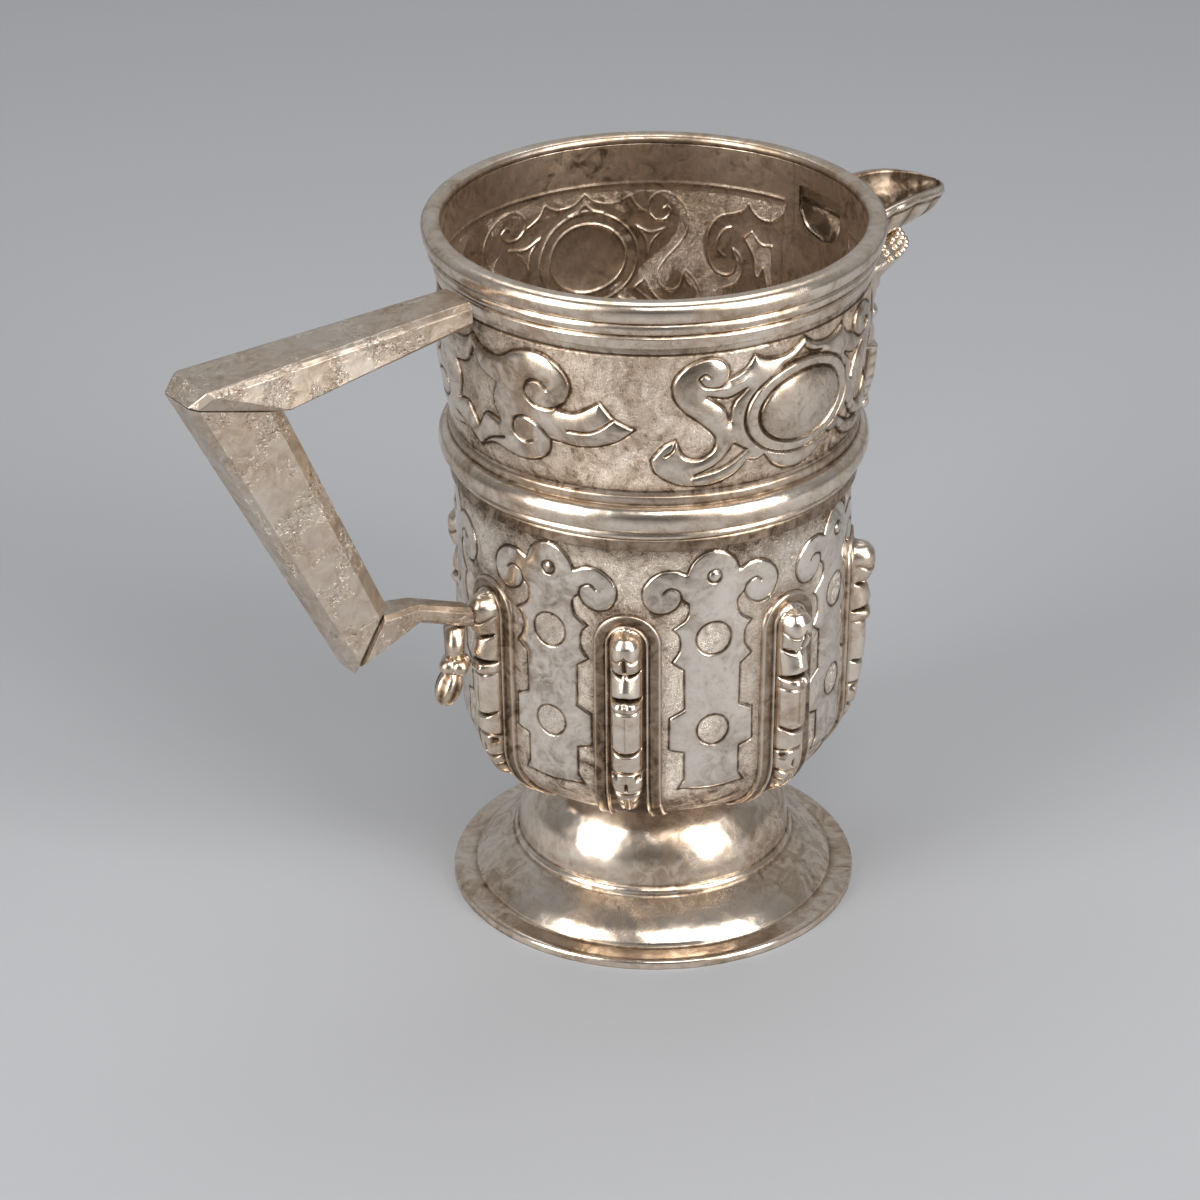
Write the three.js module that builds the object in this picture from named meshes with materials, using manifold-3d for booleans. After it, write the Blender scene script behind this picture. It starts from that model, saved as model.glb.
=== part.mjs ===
// A spouted silver jug: a round foot, a ribbed bowl, a tall straight wall with moulded
// rings, an angular handle with a strut and a hanging bud, and an open spout with a cast
// ornament below it. Millimetres, +Z up. The spout points to +X and the handle to -X.
// The origin lies on the table, under the middle of the jug's whole length.

import * as THREE from 'three';
import { mergeVertices } from 'three/addons/utils/BufferGeometryUtils.js';
import Module from 'manifold-3d';

const wasm = await Module();
wasm.setup();

// General sizes
const segments = 48; // facets round a turned piece
const clearance = 0.3; // gap between pieces that touch
const wall = 1.2; // thickness of the raised sheet

// Foot, from the table up
const flangeRadius = 45.5;
const flangeHeight = 2.3;
const flangeWidth = 7.5; // from its edge in to the hole under the foot
const flangeLip = 5.1; // from its edge in to the ogee that stands on it
const ogeeRun = 8.7; // how far the ogee draws in
const ogeeHeight = 7.7;
const domeStep = 1.9; // height of the small upright step under the dome
const domeLedge = 1.1; // width of the flat ledge round that step
const domeHeight = 17.8;
const neckRadius = 21.2;
const collarLip = 2.2; // how far the collar stands out from the neck
const collarHeight = 2.0;

// Bowl and upper wall
const bottomRadius = 24; // flat part of the bowl's bottom
const bowlCurve = 16; // height of the bowl's rounded part
const bowlSide = 62; // height of the bowl's straight side
const bowlFlare = 1; // how far that side opens on its way up to the joint with the wall
const upperWallHeight = 50.7;
const friezeFoot = 0.8; // how far the frieze's lower edge stands out from the joint
const rimRadius = 46.3; // outside of the sheet at the rim
const wallFlare = 3; // how far the wall opens on its way up from the joint to the rim
const rimBand = 2; // plain band between the frieze and the rim ring

// Frieze: straps in low relief round two oval bosses, and pairs of volutes with pointed leaves
// over the handle and under the spout. Each outline is half a design, in shares of the
// frieze's height: along the wall from the design's middle, and up from the middle ring.
const strapRise = 0.5;
const bossAngles = [84.3, 275.7]; // degrees round the wall, from the spout
const bossHalfWidth = 11;
const bossHalfHeight = 8;
const bossRise = 2.1;
const scrollHalf = [
  [0, 0.99], [0.2, 0.91], [0.38, 0.96], [0.55, 0.82], [0.62, 0.96], [0.78, 0.96], [0.92, 0.8],
  [0.87, 0.63], [0.63, 0.4], [0.66, 0.29], [0.8, 0.26], [0.89, 0.42], [1.06, 0.27], [0.94, 0.1],
  [0.67, 0.06], [0.39, 0.2], [0.28, 0.22], [0.2, 0.12], [0, 0.05],
];
const voluteWing = [
  [0.3, 0.16], [0.3, 0.86], [0.44, 0.95], [0.65, 0.93], [0.78, 0.82], [0.78, 0.65], [0.7, 0.57],
  [0.82, 0.57], [0.99, 0.67], [1.22, 0.48], [1.09, 0.39], [0.65, 0.34], [0.54, 0.16],
];

// Middle ring, over the joint
const middleRingHeight = 13;
const middleRingDepth = 2.7;
const middleRingBelow = 7; // how much of it lies below the joint

// Rim ring
const rimRingHeight = 10.8;
const rimRingDepth = 2.8;
const rimRingTop = 1.3; // thickness of its lip over the sheet

// Cast ribs on arched plates. They were set by hand and aren't quite evenly spaced.
const ribAngles = [180, 226.5, 276, 322, 16, 70, 124]; // degrees round the bowl, from the spout
const ribHalfWidth = 3.4;
const ribHeight = 6;
const ribDrop = 15.5; // from the middle ring down to the top of a plate
const ribFoot = 11.6; // from a rib's end to the flat part of the bowl's bottom
const plateHalfWidth = 7.3;
const plateThickness = 0.6;
const plateMargin = 2.4; // from the top of a plate down to the top of its rib
const ribLobes = [[0.2, 1], [0.12, 0.92], [0.22, 0.9], [0.11, 0.77], [0.14, 0.62], [0.21, 0.4]]; // shares
const lobeShape = [[0, 0.68], [0.3, 1], [0.74, 0.96]]; // share of a lobe's length, share of its height

// Handle: reaches are measured from the jug's axis, drops from the top of the rim
const armDrop = 6.3;
const armDepthAtWall = 5.5;
const armWidthAtWall = 10.8;
const armWidth = 16; // just before the corner
const cornerWidth = 12.6;
const handleChamfer = 1.7;
const cornerReach = 116.8;
const cornerDrop = 12;
const cornerBevel = 3.4;
const mitreRun = 21.5; // from the outer corner in to the inner corner
const mitreDrop = 5.8; // from the outer corner down to the inner corner
const gripEndReach = 79.6;
const gripEndWidth = 9.6;
const gripEndBelowKnob = 3.6; // from the middle of the rib's knob down to the tip of the grip
const gripEndCut = [8.2, 13.6]; // how far the slanting end runs in and up

// Strut between the grip and the rib's knob
const strutBendShare = 0.5; // where it bends, on the way from the knob to the grip
const strutBendRise = 5.2;
const strutDepth = 4.6;
const strutWidth = 6;
const strutStartWidth = 9;
const strutStartDepth = 12;
const strutChamfer = 1.1;

// Bud that hangs from the strut
const stemLength = 7.6;
const stemWidth = 4.2;
const stemChamfer = 0.9;
const stemOffset = 3.2; // from the rib's knob to the stem's middle
const beadRadius = 2.1;
const beadRing = 1.7; // from the stem's middle to each bead's middle
const budLength = 9.4;
const budRadius = 3.1;
const budLean = THREE.MathUtils.degToRad(22);

// Spout and the opening behind it
const spoutLength = 31.2; // from the wall to its tip
const spoutHalfWidth = 10;
const spoutWall = 1.2;
const spoutDrop = 0.6; // from the rim ring down to the spout's edge at the wall
const spoutRise = 2.6; // how far its edge arches up on the way
const spoutCrest = 0.55; // where it is highest, as a share of the way to the tip
const spoutTipRise = 0.9; // how far its tip lies above its edge at the wall
const spoutDepth = 10.8;
const spoutTipWidth = 1.6; // half width that is left at the tip
const openingHalfWidth = 7.4;
const openingHeight = 11;
const openingPoint = 5; // height of its pointed lower part
const openingDrop = 6.6; // from the top of the rim down to the top of the opening

// Ornament under the spout: its parts' depths are measured from the wall
const bandDepth = 21;
const bandHalfWidth = 9;
const bandRise = 4.3; // how far its front lies above its back, under the spout
const bandLip = 1.5; // how far its upper edge is set back
const browDepth = 12.5;
const bossDepth = 16.8;
const bossRadius = 3.2;
const smallBossDepth = 14;
const smallBossRadius = 2;
const leafDepth = 13;
const leafHalfWidth = 6;
const leafThickness = 4; // of its free end, in front of the middle ring
const leafGap = 1.5; // from the middle ring up to where the leaf comes free of the wall
const leafLength = 17.7; // from there down to the end of its bead
const endBeadRadius = 2.3;

// Heights and radii that follow from the sizes
const jointRadius = rimRadius - wallFlare;
const shoulderRadius = jointRadius - bowlFlare;
const ogeeRadius = flangeRadius - flangeLip;
const ledgeRadius = ogeeRadius - ogeeRun;
const collarRadius = neckRadius + collarLip;
const ogeeBottom = flangeHeight + clearance;
const domeBottom = ogeeBottom + ogeeHeight + clearance;
const collarBottom = domeBottom + domeHeight + clearance;
const bowlBottom = collarBottom + collarHeight + clearance;
const shoulder = bowlBottom + bowlCurve;
const joint = shoulder + bowlSide;
const upperWallBottom = joint + clearance;
const upperWallTop = upperWallBottom + upperWallHeight - rimRingTop - clearance;
const rimTop = upperWallTop + clearance + rimRingTop;
const rimRingBottom = rimTop - rimRingHeight;
const friezeTop = rimRingBottom - rimBand;
const middleRingBottom = joint - middleRingBelow;
const middleRingTop = middleRingBottom + middleRingHeight;
const friezeHeight = friezeTop - middleRingTop;

const silver = new THREE.MeshStandardMaterial({ color: 0xb3a89a, metalness: 1, roughness: 0.32 });
const castSilver = new THREE.MeshStandardMaterial({ color: 0xbdb4a8, metalness: 1, roughness: 0.25 });
const handleSilver = new THREE.MeshStandardMaterial({ color: 0xa79d90, metalness: 1, roughness: 0.38 });

const jug = new THREE.Group();

function addPiece(name, geometry, material) {
  const mesh = new THREE.Mesh(geometry, material);
  mesh.name = name;
  jug.add(mesh);
}

// Shared helpers

function closed(geometry) {
  geometry.deleteAttribute('normal');
  geometry.deleteAttribute('uv');
  return mergeVertices(geometry, 1e-4);
}

function toSolid(geometry) {
  const merged = closed(geometry);
  return new wasm.Manifold(new wasm.Mesh({
    numProp: 3,
    vertProperties: new Float32Array(merged.attributes.position.array),
    triVerts: new Uint32Array(merged.index.array),
  }));
}

function fromSolid(solid) {
  const { vertProperties, triVerts } = solid.getMesh();
  const geometry = new THREE.BufferGeometry();
  geometry.setAttribute('position', new THREE.BufferAttribute(vertProperties, 3));
  geometry.setIndex(new THREE.BufferAttribute(triVerts, 1));
  return geometry;
}

function ballAt(radius, x, y, z, around, along) {
  return toSolid(new THREE.SphereGeometry(radius, around, along).rotateX(Math.PI / 2).translate(x, y, z));
}

// Turns an outline of [radius, height] pairs, which runs up the outside and down the inside
function turned(outline) {
  const points = outline.map(([radius, height]) => new THREE.Vector2(radius, height));
  if (outline[0][0] > 0) points.push(points[0].clone());
  const geometry = new THREE.LatheGeometry(points, segments);
  geometry.rotateX(Math.PI / 2);
  return closed(geometry);
}

// The area inside a ring, as a vector square to it
function ringArea(ring) {
  return ring.reduce((sum, point, i) => {
    const next = ring[(i + 1) % ring.length];
    return sum.add(new THREE.Vector3().crossVectors(point, next));
  }, new THREE.Vector3());
}

// Faces that close a ring of points, turned to look along a direction
function capFaces(ring, offset, direction) {
  const along = ring[1].clone().sub(ring[0]).normalize();
  const across = new THREE.Vector3().crossVectors(direction, along).normalize();
  const flat = ring.map((point) => new THREE.Vector2(point.dot(along), point.dot(across)));
  return THREE.ShapeUtils.triangulateShape(flat, []).flatMap(([a, b, c]) => {
    const looks = ringArea([ring[a], ring[b], ring[c]]).dot(direction) > 0;
    const face = looks ? [a, b, c] : [a, c, b];
    return face.map((corner) => corner + offset);
  });
}

function ringMiddle(ring) {
  return ring.reduce((sum, point) => sum.add(point), new THREE.Vector3()).divideScalar(ring.length);
}

// Skins a row of rings, which have the same number of points and turn the same way, and
// closes both ends. Rings that turn left-handed along the row are read backwards.
function lofted(givenRings) {
  const travel = ringMiddle(givenRings.at(-1)).sub(ringMiddle(givenRings[0]));
  const forward = ringArea(givenRings[0]).dot(travel) > 0;
  const rings = givenRings.map((ring) => (forward ? ring : ring.toReversed()));
  const count = rings[0].length;
  const faces = [];
  for (let i = 0; i + 1 < rings.length; i += 1) {
    for (let j = 0; j < count; j += 1) {
      const a = i * count + j;
      const b = i * count + (j + 1) % count;
      faces.push(a, b, b + count, a, b + count, a + count);
    }
  }
  const last = rings.at(-1);
  faces.push(...capFaces(rings[0], 0, ringArea(rings[0]).normalize().negate()));
  faces.push(...capFaces(last, (rings.length - 1) * count, ringArea(last).normalize()));
  const geometry = new THREE.BufferGeometry().setFromPoints(rings.flat());
  geometry.setIndex(faces);
  return geometry;
}

// Foot

addPiece('foot_flange', turned([
  [flangeRadius - flangeWidth, 0],
  [flangeRadius, 0],
  [flangeRadius, flangeHeight * 0.6],
  [flangeRadius - flangeLip * 0.16, flangeHeight * 0.87],
  [ogeeRadius, flangeHeight],
  [flangeRadius - flangeWidth, flangeHeight],
]), silver);

// The spreading lower part: a hollow curve that starts upright and ends almost flat
function ogeeOutline() {
  const curve = new THREE.CubicBezierCurve(
    new THREE.Vector2(ogeeRadius, ogeeBottom + ogeeHeight * 0.08),
    new THREE.Vector2(ogeeRadius - ogeeRun * 0.18, ogeeBottom + ogeeHeight * 0.55),
    new THREE.Vector2(ledgeRadius + ogeeRun * 0.4, ogeeBottom + ogeeHeight * 0.7),
    new THREE.Vector2(ledgeRadius, ogeeBottom + ogeeHeight),
  );
  const outside = curve.getPoints(4).map((point) => [point.x, point.y]);
  const inside = curve.getPoints(3).reverse()
    .map((point) => [point.x - wall, Math.max(point.y - wall, ogeeBottom)]);
  const innerEdge = ledgeRadius - wall * 2;
  inside[0][0] = innerEdge;
  inside[inside.length - 1] = [ogeeRadius - wall * 1.5, ogeeBottom];
  return [[ogeeRadius, ogeeBottom], ...outside, [innerEdge, ogeeBottom + ogeeHeight], ...inside];
}

addPiece('foot_ogee', turned(ogeeOutline()), silver);

// The dome: a small step, a bulging shoulder and a narrow neck
function domeOutline() {
  const stepRadius = ledgeRadius - domeLedge;
  const shares = [[0, domeStep / domeHeight], [0.02, 0.28], [0.18, 0.52], [0.46, 0.72], [0.79, 0.88], [1, 1]];
  const line = new THREE.SplineCurve(shares.map(([inward, up]) => new THREE.Vector2(
    THREE.MathUtils.lerp(stepRadius, neckRadius, inward),
    domeBottom + domeHeight * up,
  )));
  const outside = line.getPoints(6).map((point) => [point.x, point.y]);
  const inside = line.getPoints(3).reverse().map((point) => [point.x - wall, point.y - wall * 0.6]);
  inside[0] = [neckRadius - wall * 1.6, domeBottom + domeHeight];
  inside[inside.length - 1] = [stepRadius - wall, domeBottom];
  const ledge = [[ledgeRadius, domeBottom], [ledgeRadius - domeLedge * 0.1, domeBottom + domeStep * 0.26]];
  return [...ledge, ...outside, ...inside];
}

addPiece('foot_dome', turned(domeOutline()), silver);

addPiece('foot_collar', turned([
  [neckRadius - wall * 2.5, collarBottom],
  [neckRadius, collarBottom],
  [collarRadius, collarBottom + collarHeight * 0.4],
  [collarRadius - collarLip * 0.1, collarBottom + collarHeight],
  [neckRadius - wall * 2.5, collarBottom + collarHeight],
]), silver);

// Bowl and upper wall

// The bowl's line from the edge of its flat bottom, round the curve and up the straight side
function bowlLine(inset) {
  const path = new THREE.Path();
  const across = shoulderRadius - inset - bottomRadius;
  path.absellipse(bottomRadius, shoulder, across, bowlCurve - inset, -Math.PI / 2, 0, false, 0);
  path.lineTo(jointRadius - inset, joint);
  return path;
}

function bowlOutline() {
  const outside = bowlLine(0).getPoints(3).map((point) => [point.x, point.y]);
  const inside = bowlLine(wall).getPoints(2).reverse().map((point) => [point.x, point.y]);
  return [[0, bowlBottom], ...outside, ...inside, [0, bowlBottom + wall]];
}

addPiece('lower_bowl', turned(bowlOutline()), silver);

// Outside radius of the upper wall: a slow swell from the middle ring up to the rim
function upperWallRadius(height) {
  const share = THREE.MathUtils.clamp((height - middleRingTop) / (friezeTop - middleRingTop), 0, 1);
  return THREE.MathUtils.lerp(jointRadius + friezeFoot, rimRadius, Math.sin(share * Math.PI / 2));
}

function upperWallOutline() {
  const friezeBottom = middleRingTop + clearance;
  const frieze = [0, 0.25, 0.5, 0.75, 1].map((share) => {
    const height = THREE.MathUtils.lerp(friezeBottom, friezeTop, share);
    return [upperWallRadius(height), height];
  });
  const outside = [
    [jointRadius, upperWallBottom],
    [jointRadius, middleRingTop],
    ...frieze,
    [rimRadius, upperWallTop],
  ];
  const inside = [7, 6, 4, 2, 1].map((i) => [outside[i][0] - wall, outside[i][1]]);
  return [...outside, ...inside, [jointRadius - wall, upperWallBottom]];
}

// A flat shape pushed out sideways through the wall. It lies across +X before it is turned
// round the axis by some degrees.
function pushedThroughWall(shape, degrees) {
  const prism = new THREE.ExtrudeGeometry(shape, {
    depth: rimRadius,
    bevelEnabled: false,
    curveSegments: 4,
  });
  const toSide = new THREE.Matrix4().makeBasis(
    new THREE.Vector3(0, 1, 0),
    new THREE.Vector3(0, 0, 1),
    new THREE.Vector3(1, 0, 0),
  );
  prism.applyMatrix4(toSide).translate(rimRadius / 2, 0, 0);
  return toSolid(prism.rotateZ(THREE.MathUtils.degToRad(degrees)));
}

// The opening that lets the drink into the spout: straight sides over a blunt point
function openingCutter() {
  const top = rimTop - openingDrop;
  const bottom = top - openingHeight;
  const sideEnd = bottom + openingPoint;
  const bend = [openingHalfWidth * 0.7, bottom + openingPoint * 0.3];
  const shape = new THREE.Shape();
  shape.moveTo(-openingHalfWidth, top);
  shape.lineTo(-openingHalfWidth, sideEnd);
  shape.quadraticCurveTo(-bend[0], bend[1], 0, bottom);
  shape.quadraticCurveTo(bend[0], bend[1], openingHalfWidth, sideEnd);
  shape.lineTo(openingHalfWidth, top);
  return pushedThroughWall(shape, 0);
}

// The frieze's layer of metal: from the middle of the sheet out to some height above it
function friezeLayer(rise) {
  const heights = [0.02, 0.5, 0.995].map((share) => middleRingTop + share * friezeHeight);
  const outside = heights.map((height) => [upperWallRadius(height) + rise, height]);
  const inside = heights.toReversed().map((height) => [upperWallRadius(height) - wall / 2, height]);
  return toSolid(turned([...outside, ...inside]));
}

function strapAt(outline, degrees, layer) {
  const points = outline.map(([along, up]) => new THREE.Vector2(
    rimRadius * Math.sin(along * friezeHeight / rimRadius),
    middleRingTop + up * friezeHeight,
  ));
  return pushedThroughWall(new THREE.Shape(points), degrees).intersect(layer);
}

// An oval boss, sunk into the wall as far as the wall curves away at its two ends
function bossAt(degrees, layer) {
  const height = middleRingTop + friezeHeight * 0.52;
  const seat = upperWallRadius(height);
  const sink = seat - Math.sqrt(seat ** 2 - bossHalfWidth ** 2);
  const boss = new THREE.SphereGeometry(1, 12, 8).rotateX(Math.PI / 2);
  boss.scale(bossRise + sink, bossHalfWidth, bossHalfHeight).translate(seat - sink, 0, height);
  return toSolid(boss.rotateZ(THREE.MathUtils.degToRad(degrees))).intersect(layer);
}

const flipped = (outline) => outline.map(([along, up]) => [-along, up]);
const strapLayer = friezeLayer(strapRise);
const bossLayer = friezeLayer(bossRise);
const scroll = [...scrollHalf, ...flipped(scrollHalf.slice(1, -1).toReversed())];
const chasing = [
  ...bossAngles.map((degrees) => strapAt(scroll, degrees, strapLayer)),
  ...bossAngles.map((degrees) => bossAt(degrees, bossLayer)),
  ...[0, 180].map((degrees) => strapAt(voluteWing, degrees, strapLayer)),
  ...[0, 180].map((degrees) => strapAt(flipped(voluteWing), degrees, strapLayer)),
];
const plainWall = toSolid(turned(upperWallOutline())).subtract(openingCutter());
const upperWall = chasing.reduce((solid, raised) => solid.add(raised), plainWall);
addPiece('upper_wall', fromSolid(upperWall), silver);

// Rings: a drawn wire over the joint, and the rim with its lip. Each moulding is given as
// shares of the ring's depth and height.

const middleRingMoulding = [
  [0.25, 0], [0.25, 0.2], [0.55, 0.3], [0.9, 0.42], [1, 0.62], [0.85, 0.76], [0.45, 0.82],
  [0.3, 1],
];
const rimRingMoulding = [
  [0.12, 0], [0.32, 0.22], [0.14, 0.28], [0.6, 0.4], [0.55, 0.53], [0.82, 0.59], [1, 0.72],
  [1, 0.86], [0.86, 0.96], [0.65, 1],
];

function mouldingPoints(inner, bottom, depth, height, shares) {
  return shares.map(([out, up]) => [inner + depth * out, bottom + height * up]);
}

function middleRingOutline() {
  const inner = jointRadius + clearance;
  return [
    [inner, middleRingBottom],
    ...mouldingPoints(inner, middleRingBottom, middleRingDepth, middleRingHeight, middleRingMoulding),
    [inner, middleRingTop],
  ];
}

addPiece('middle_ring', turned(middleRingOutline()), silver);

function rimRingOutline() {
  const inner = rimRadius + clearance;
  return [
    [inner, rimRingBottom],
    ...mouldingPoints(inner, rimRingBottom, rimRingDepth, rimRingHeight, rimRingMoulding),
    [rimRadius - wall, rimTop],
    [rimRadius - wall, rimTop - rimRingTop],
    [inner, rimTop - rimRingTop],
  ];
}

addPiece('rim_ring', turned(rimRingOutline()), silver);

// Ribs: lobed castings that follow the bowl, each on its arched plate

const ribLine = bowlLine(0);
const ribLineLength = ribLine.getLength();
const plateTop = middleRingBelow + ribDrop; // along the bowl's line, down from the joint
const ribLength = ribLineLength - plateTop - plateMargin - ribFoot;
const knobMiddle = ribLobes[0][0] * ribLength * 0.45; // from the top of a rib

// The places along a rib where its section is set: distance from the plate's top, and height
function ribStations() {
  const stations = [0.15, 0.8].map((share) => ({ along: share * plateMargin, height: 0 }));
  let along = plateMargin;
  for (const [lengthShare, heightShare] of ribLobes) {
    const length = lengthShare * ribLength;
    for (const [share, part] of lobeShape) {
      stations.push({ along: along + share * length, height: ribHeight * heightShare * part });
    }
    along += length;
  }
  stations.push({ along, height: ribHeight * ribLobes.at(-1)[1] * 0.5 });
  stations.push({ along: along + plateMargin * 0.4, height: 0 });
  return stations;
}

// Half width of a shape with a round end, at a distance from that end
function roundEnd(distance, radius) {
  if (distance >= radius) return radius;
  return Math.sqrt(radius ** 2 - (radius - Math.max(distance, 0)) ** 2);
}

// The section of a rib and its plate: the rib has a round top end and a slow taper below
function ribRing({ along, height }) {
  const share = 1 - (plateTop + along) / ribLineLength;
  const point = ribLine.getPoint(share);
  const tangent = ribLine.getTangent(share);
  const flat = plateThickness * 1.03;
  const crest = Math.max(height, plateThickness * 1.2);
  const toEnd = Math.max(plateMargin + ribLength - along, 0);
  const taper = ribHalfWidth * (0.35 + toEnd / ribLength * 2.8);
  const rounded = roundEnd(along - plateMargin + ribHalfWidth * 0.26, ribHalfWidth);
  const half = Math.max(Math.min(rounded, taper), ribHalfWidth * 0.2);
  const plate = Math.max(roundEnd(along, plateHalfWidth), half * 1.2);
  const section = [
    [plate, 0], [0, 0], [-plate, 0], [-plate, plateThickness], [-half, flat],
    [-half * 0.8, crest * 0.72], [0, crest], [half * 0.8, crest * 0.72], [half, flat],
    [plate, plateThickness],
  ];
  return section.map(([across, out]) => {
    const lift = out + clearance;
    const angle = across / point.x;
    const radius = point.x + lift * tangent.y;
    const lowered = point.y - lift * tangent.x;
    return new THREE.Vector3(radius * Math.cos(angle), radius * Math.sin(angle), lowered);
  });
}

const ribGeometry = lofted(ribStations().map(ribRing));
ribAngles.forEach((angle, i) => {
  const rib = ribGeometry.clone().rotateZ(THREE.MathUtils.degToRad(angle));
  addPiece(`rib_${i + 1}`, rib, castSilver);
});

// Handle: chamfered bars, each set by its outer and inner points in the handle's plane

// An eight-sided section between two points of the plane, with its corners cut off
function barRing([outerReach, outerHeight], [innerReach, innerHeight], width, chamfer) {
  const outer = new THREE.Vector3(-outerReach, 0, outerHeight);
  const inner = new THREE.Vector3(-innerReach, 0, innerHeight);
  const cut = inner.clone().sub(outer).normalize().multiplyScalar(chamfer);
  const half = width / 2;
  const corners = [
    [outer, 0, half - chamfer], [outer, 1, half], [inner, -1, half], [inner, 0, half - chamfer],
    [inner, 0, chamfer - half], [inner, -1, -half], [outer, 1, -half], [outer, 0, chamfer - half],
  ];
  return corners.map(([from, cuts, across]) => {
    const point = from.clone().addScaledVector(cut, cuts);
    point.y += across;
    return point;
  });
}

const knobDrop = plateTop + plateMargin + knobMiddle;
const knobHeight = joint - knobDrop;
const knobReach = ribLine.getPoint(1 - knobDrop / ribLineLength).x + ribHeight + clearance * 2;
const corner = [cornerReach, rimTop - cornerDrop];
const innerCorner = [cornerReach - mitreRun, rimTop - cornerDrop - mitreDrop];
const bevelled = [cornerReach - cornerBevel, rimTop - cornerDrop + cornerBevel * 0.85];
const gripTip = [gripEndReach, knobHeight - gripEndBelowKnob];
const gripHeel = [gripEndReach - gripEndCut[0], gripTip[1] + gripEndCut[1]];

// The arm starts outside the rim ring's widest part and ends on a mitre
function armGeometry() {
  const top = rimTop - armDrop;
  const reach = rimRadius + rimRingDepth + clearance * 2;
  const innerBevelled = [innerCorner[0] - 1.5, innerCorner[1] + 0.2];
  return lofted([
    barRing([reach, top], [reach, top - armDepthAtWall], armWidthAtWall, handleChamfer * 0.7),
    barRing(bevelled, innerBevelled, armWidth, handleChamfer),
    barRing(corner, innerCorner, cornerWidth, handleChamfer),
  ]);
}

function gripGeometry() {
  const below = (point) => [point[0] - clearance * 0.4, point[1] - clearance];
  return lofted([
    barRing(below(corner), below(innerCorner), cornerWidth, handleChamfer),
    barRing(gripTip, gripHeel, gripEndWidth, handleChamfer),
  ]);
}

addPiece('handle_arm', armGeometry(), handleSilver);
addPiece('handle_grip', gripGeometry(), handleSilver);

// The strut leaves the grip's slanting end, bends and comes down to the rib's knob
const strutBendReach = THREE.MathUtils.lerp(knobReach, gripEndReach - gripEndCut[0] / 2, strutBendShare);

function strutGeometry() {
  const [cutIn, cutUp] = gripEndCut;
  const slope = Math.hypot(cutIn, cutUp);
  const off = [-clearance * cutUp / slope, -clearance * cutIn / slope];
  const onCut = (share) => [gripTip[0] - cutIn * share + off[0], gripTip[1] + cutUp * share + off[1]];
  const startShare = (slope - strutStartDepth) / slope / 2;
  const bend = knobHeight + strutBendRise;
  const half = strutDepth / 2;
  return lofted([
    barRing(onCut(startShare), onCut(1 - startShare), strutStartWidth, strutChamfer),
    barRing([strutBendReach, bend - half], [strutBendReach + 0.6, bend + half], strutWidth, strutChamfer),
    barRing([knobReach, knobHeight - half], [knobReach, knobHeight + half], strutWidth * 0.9, strutChamfer),
  ]);
}

addPiece('handle_strut', strutGeometry(), handleSilver);

// The hanging bud: a square stem, a ring of beads and a leaning ovoid
function budGeometry() {
  const share = stemOffset / (strutBendReach - knobReach);
  const top = knobHeight - strutDepth / 2 + share * strutBendRise - clearance * 3;
  const reach = knobReach + stemOffset;
  const half = stemWidth / 2;
  const beadHeight = top - stemLength - beadRadius * 0.7;
  const foot = beadHeight - beadRadius / 2;
  const stem = toSolid(lofted([
    barRing([reach + half, top], [reach - half, top], stemWidth, stemChamfer),
    barRing([reach + half * 0.8, foot], [reach - half * 0.8, foot], stemWidth * 0.8, stemChamfer),
  ]));
  const bud = new THREE.SphereGeometry(1, 12, 9).rotateX(Math.PI / 2);
  bud.scale(budRadius, budRadius, budLength / 2).translate(0, 0, -budLength / 2).rotateY(budLean);
  bud.translate(-reach, 0, beadHeight - beadRadius * 0.2);
  let body = stem.add(toSolid(bud));
  for (let i = 0; i < 4; i += 1) {
    const x = -reach + beadRing * Math.cos(i * Math.PI / 2);
    const y = beadRing * Math.sin(i * Math.PI / 2);
    body = body.add(ballAt(beadRadius, x, y, beadHeight, 10, 7));
  }
  return fromSolid(body);
}

addPiece('handle_bud', budGeometry(), castSilver);

// Spout: an open channel that narrows to a rounded tip

const spoutEdge = rimRingBottom - spoutDrop;
const spoutRoot = upperWallRadius(spoutEdge) + clearance;
const spoutTip = rimRadius + spoutLength;

// The channel's half width, edge height and depth at a share of the way to the tip
function spoutSize(share) {
  const taper = Math.sqrt(1 - share ** 4);
  const arch = Math.sin(Math.PI * share ** (Math.log(0.5) / Math.log(spoutCrest)));
  return {
    half: Math.max(spoutHalfWidth * taper, spoutTipWidth),
    edge: spoutEdge + spoutRise * arch + spoutTipRise * share ** 2,
    depth: Math.max(spoutDepth * (1 - 0.12 * share) * taper, spoutTipWidth * 1.25),
  };
}

function spoutRing(share) {
  const { half, edge, depth } = spoutSize(share);
  const steps = 8;
  const thin = Math.min(spoutWall, half * 0.5);
  const ring = [];
  for (let i = 0; i <= steps; i += 1) {
    const angle = Math.PI * i / steps;
    ring.push([-half * Math.cos(angle), edge - depth * Math.sin(angle) ** 0.8]);
  }
  const innerDepth = depth - Math.min(spoutWall, depth * 0.4);
  for (let i = steps; i >= 0; i -= 1) {
    const angle = Math.PI * i / steps;
    ring.push([-(half - thin) * Math.cos(angle), edge - innerDepth * Math.sin(angle) ** 0.8]);
  }
  return ring.map(([across, height]) => {
    const atWall = Math.sqrt(spoutRoot ** 2 - across ** 2);
    return new THREE.Vector3(THREE.MathUtils.lerp(atWall, spoutTip, share), across, height);
  });
}

addPiece('spout', lofted([0, 0.2, 0.4, 0.6, 0.76, 0.88, 0.96, 1].map(spoutRing)), castSilver);

// Ornament under the spout: a beaded band, two bosses, and a leaf that ends in a bead

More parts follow.
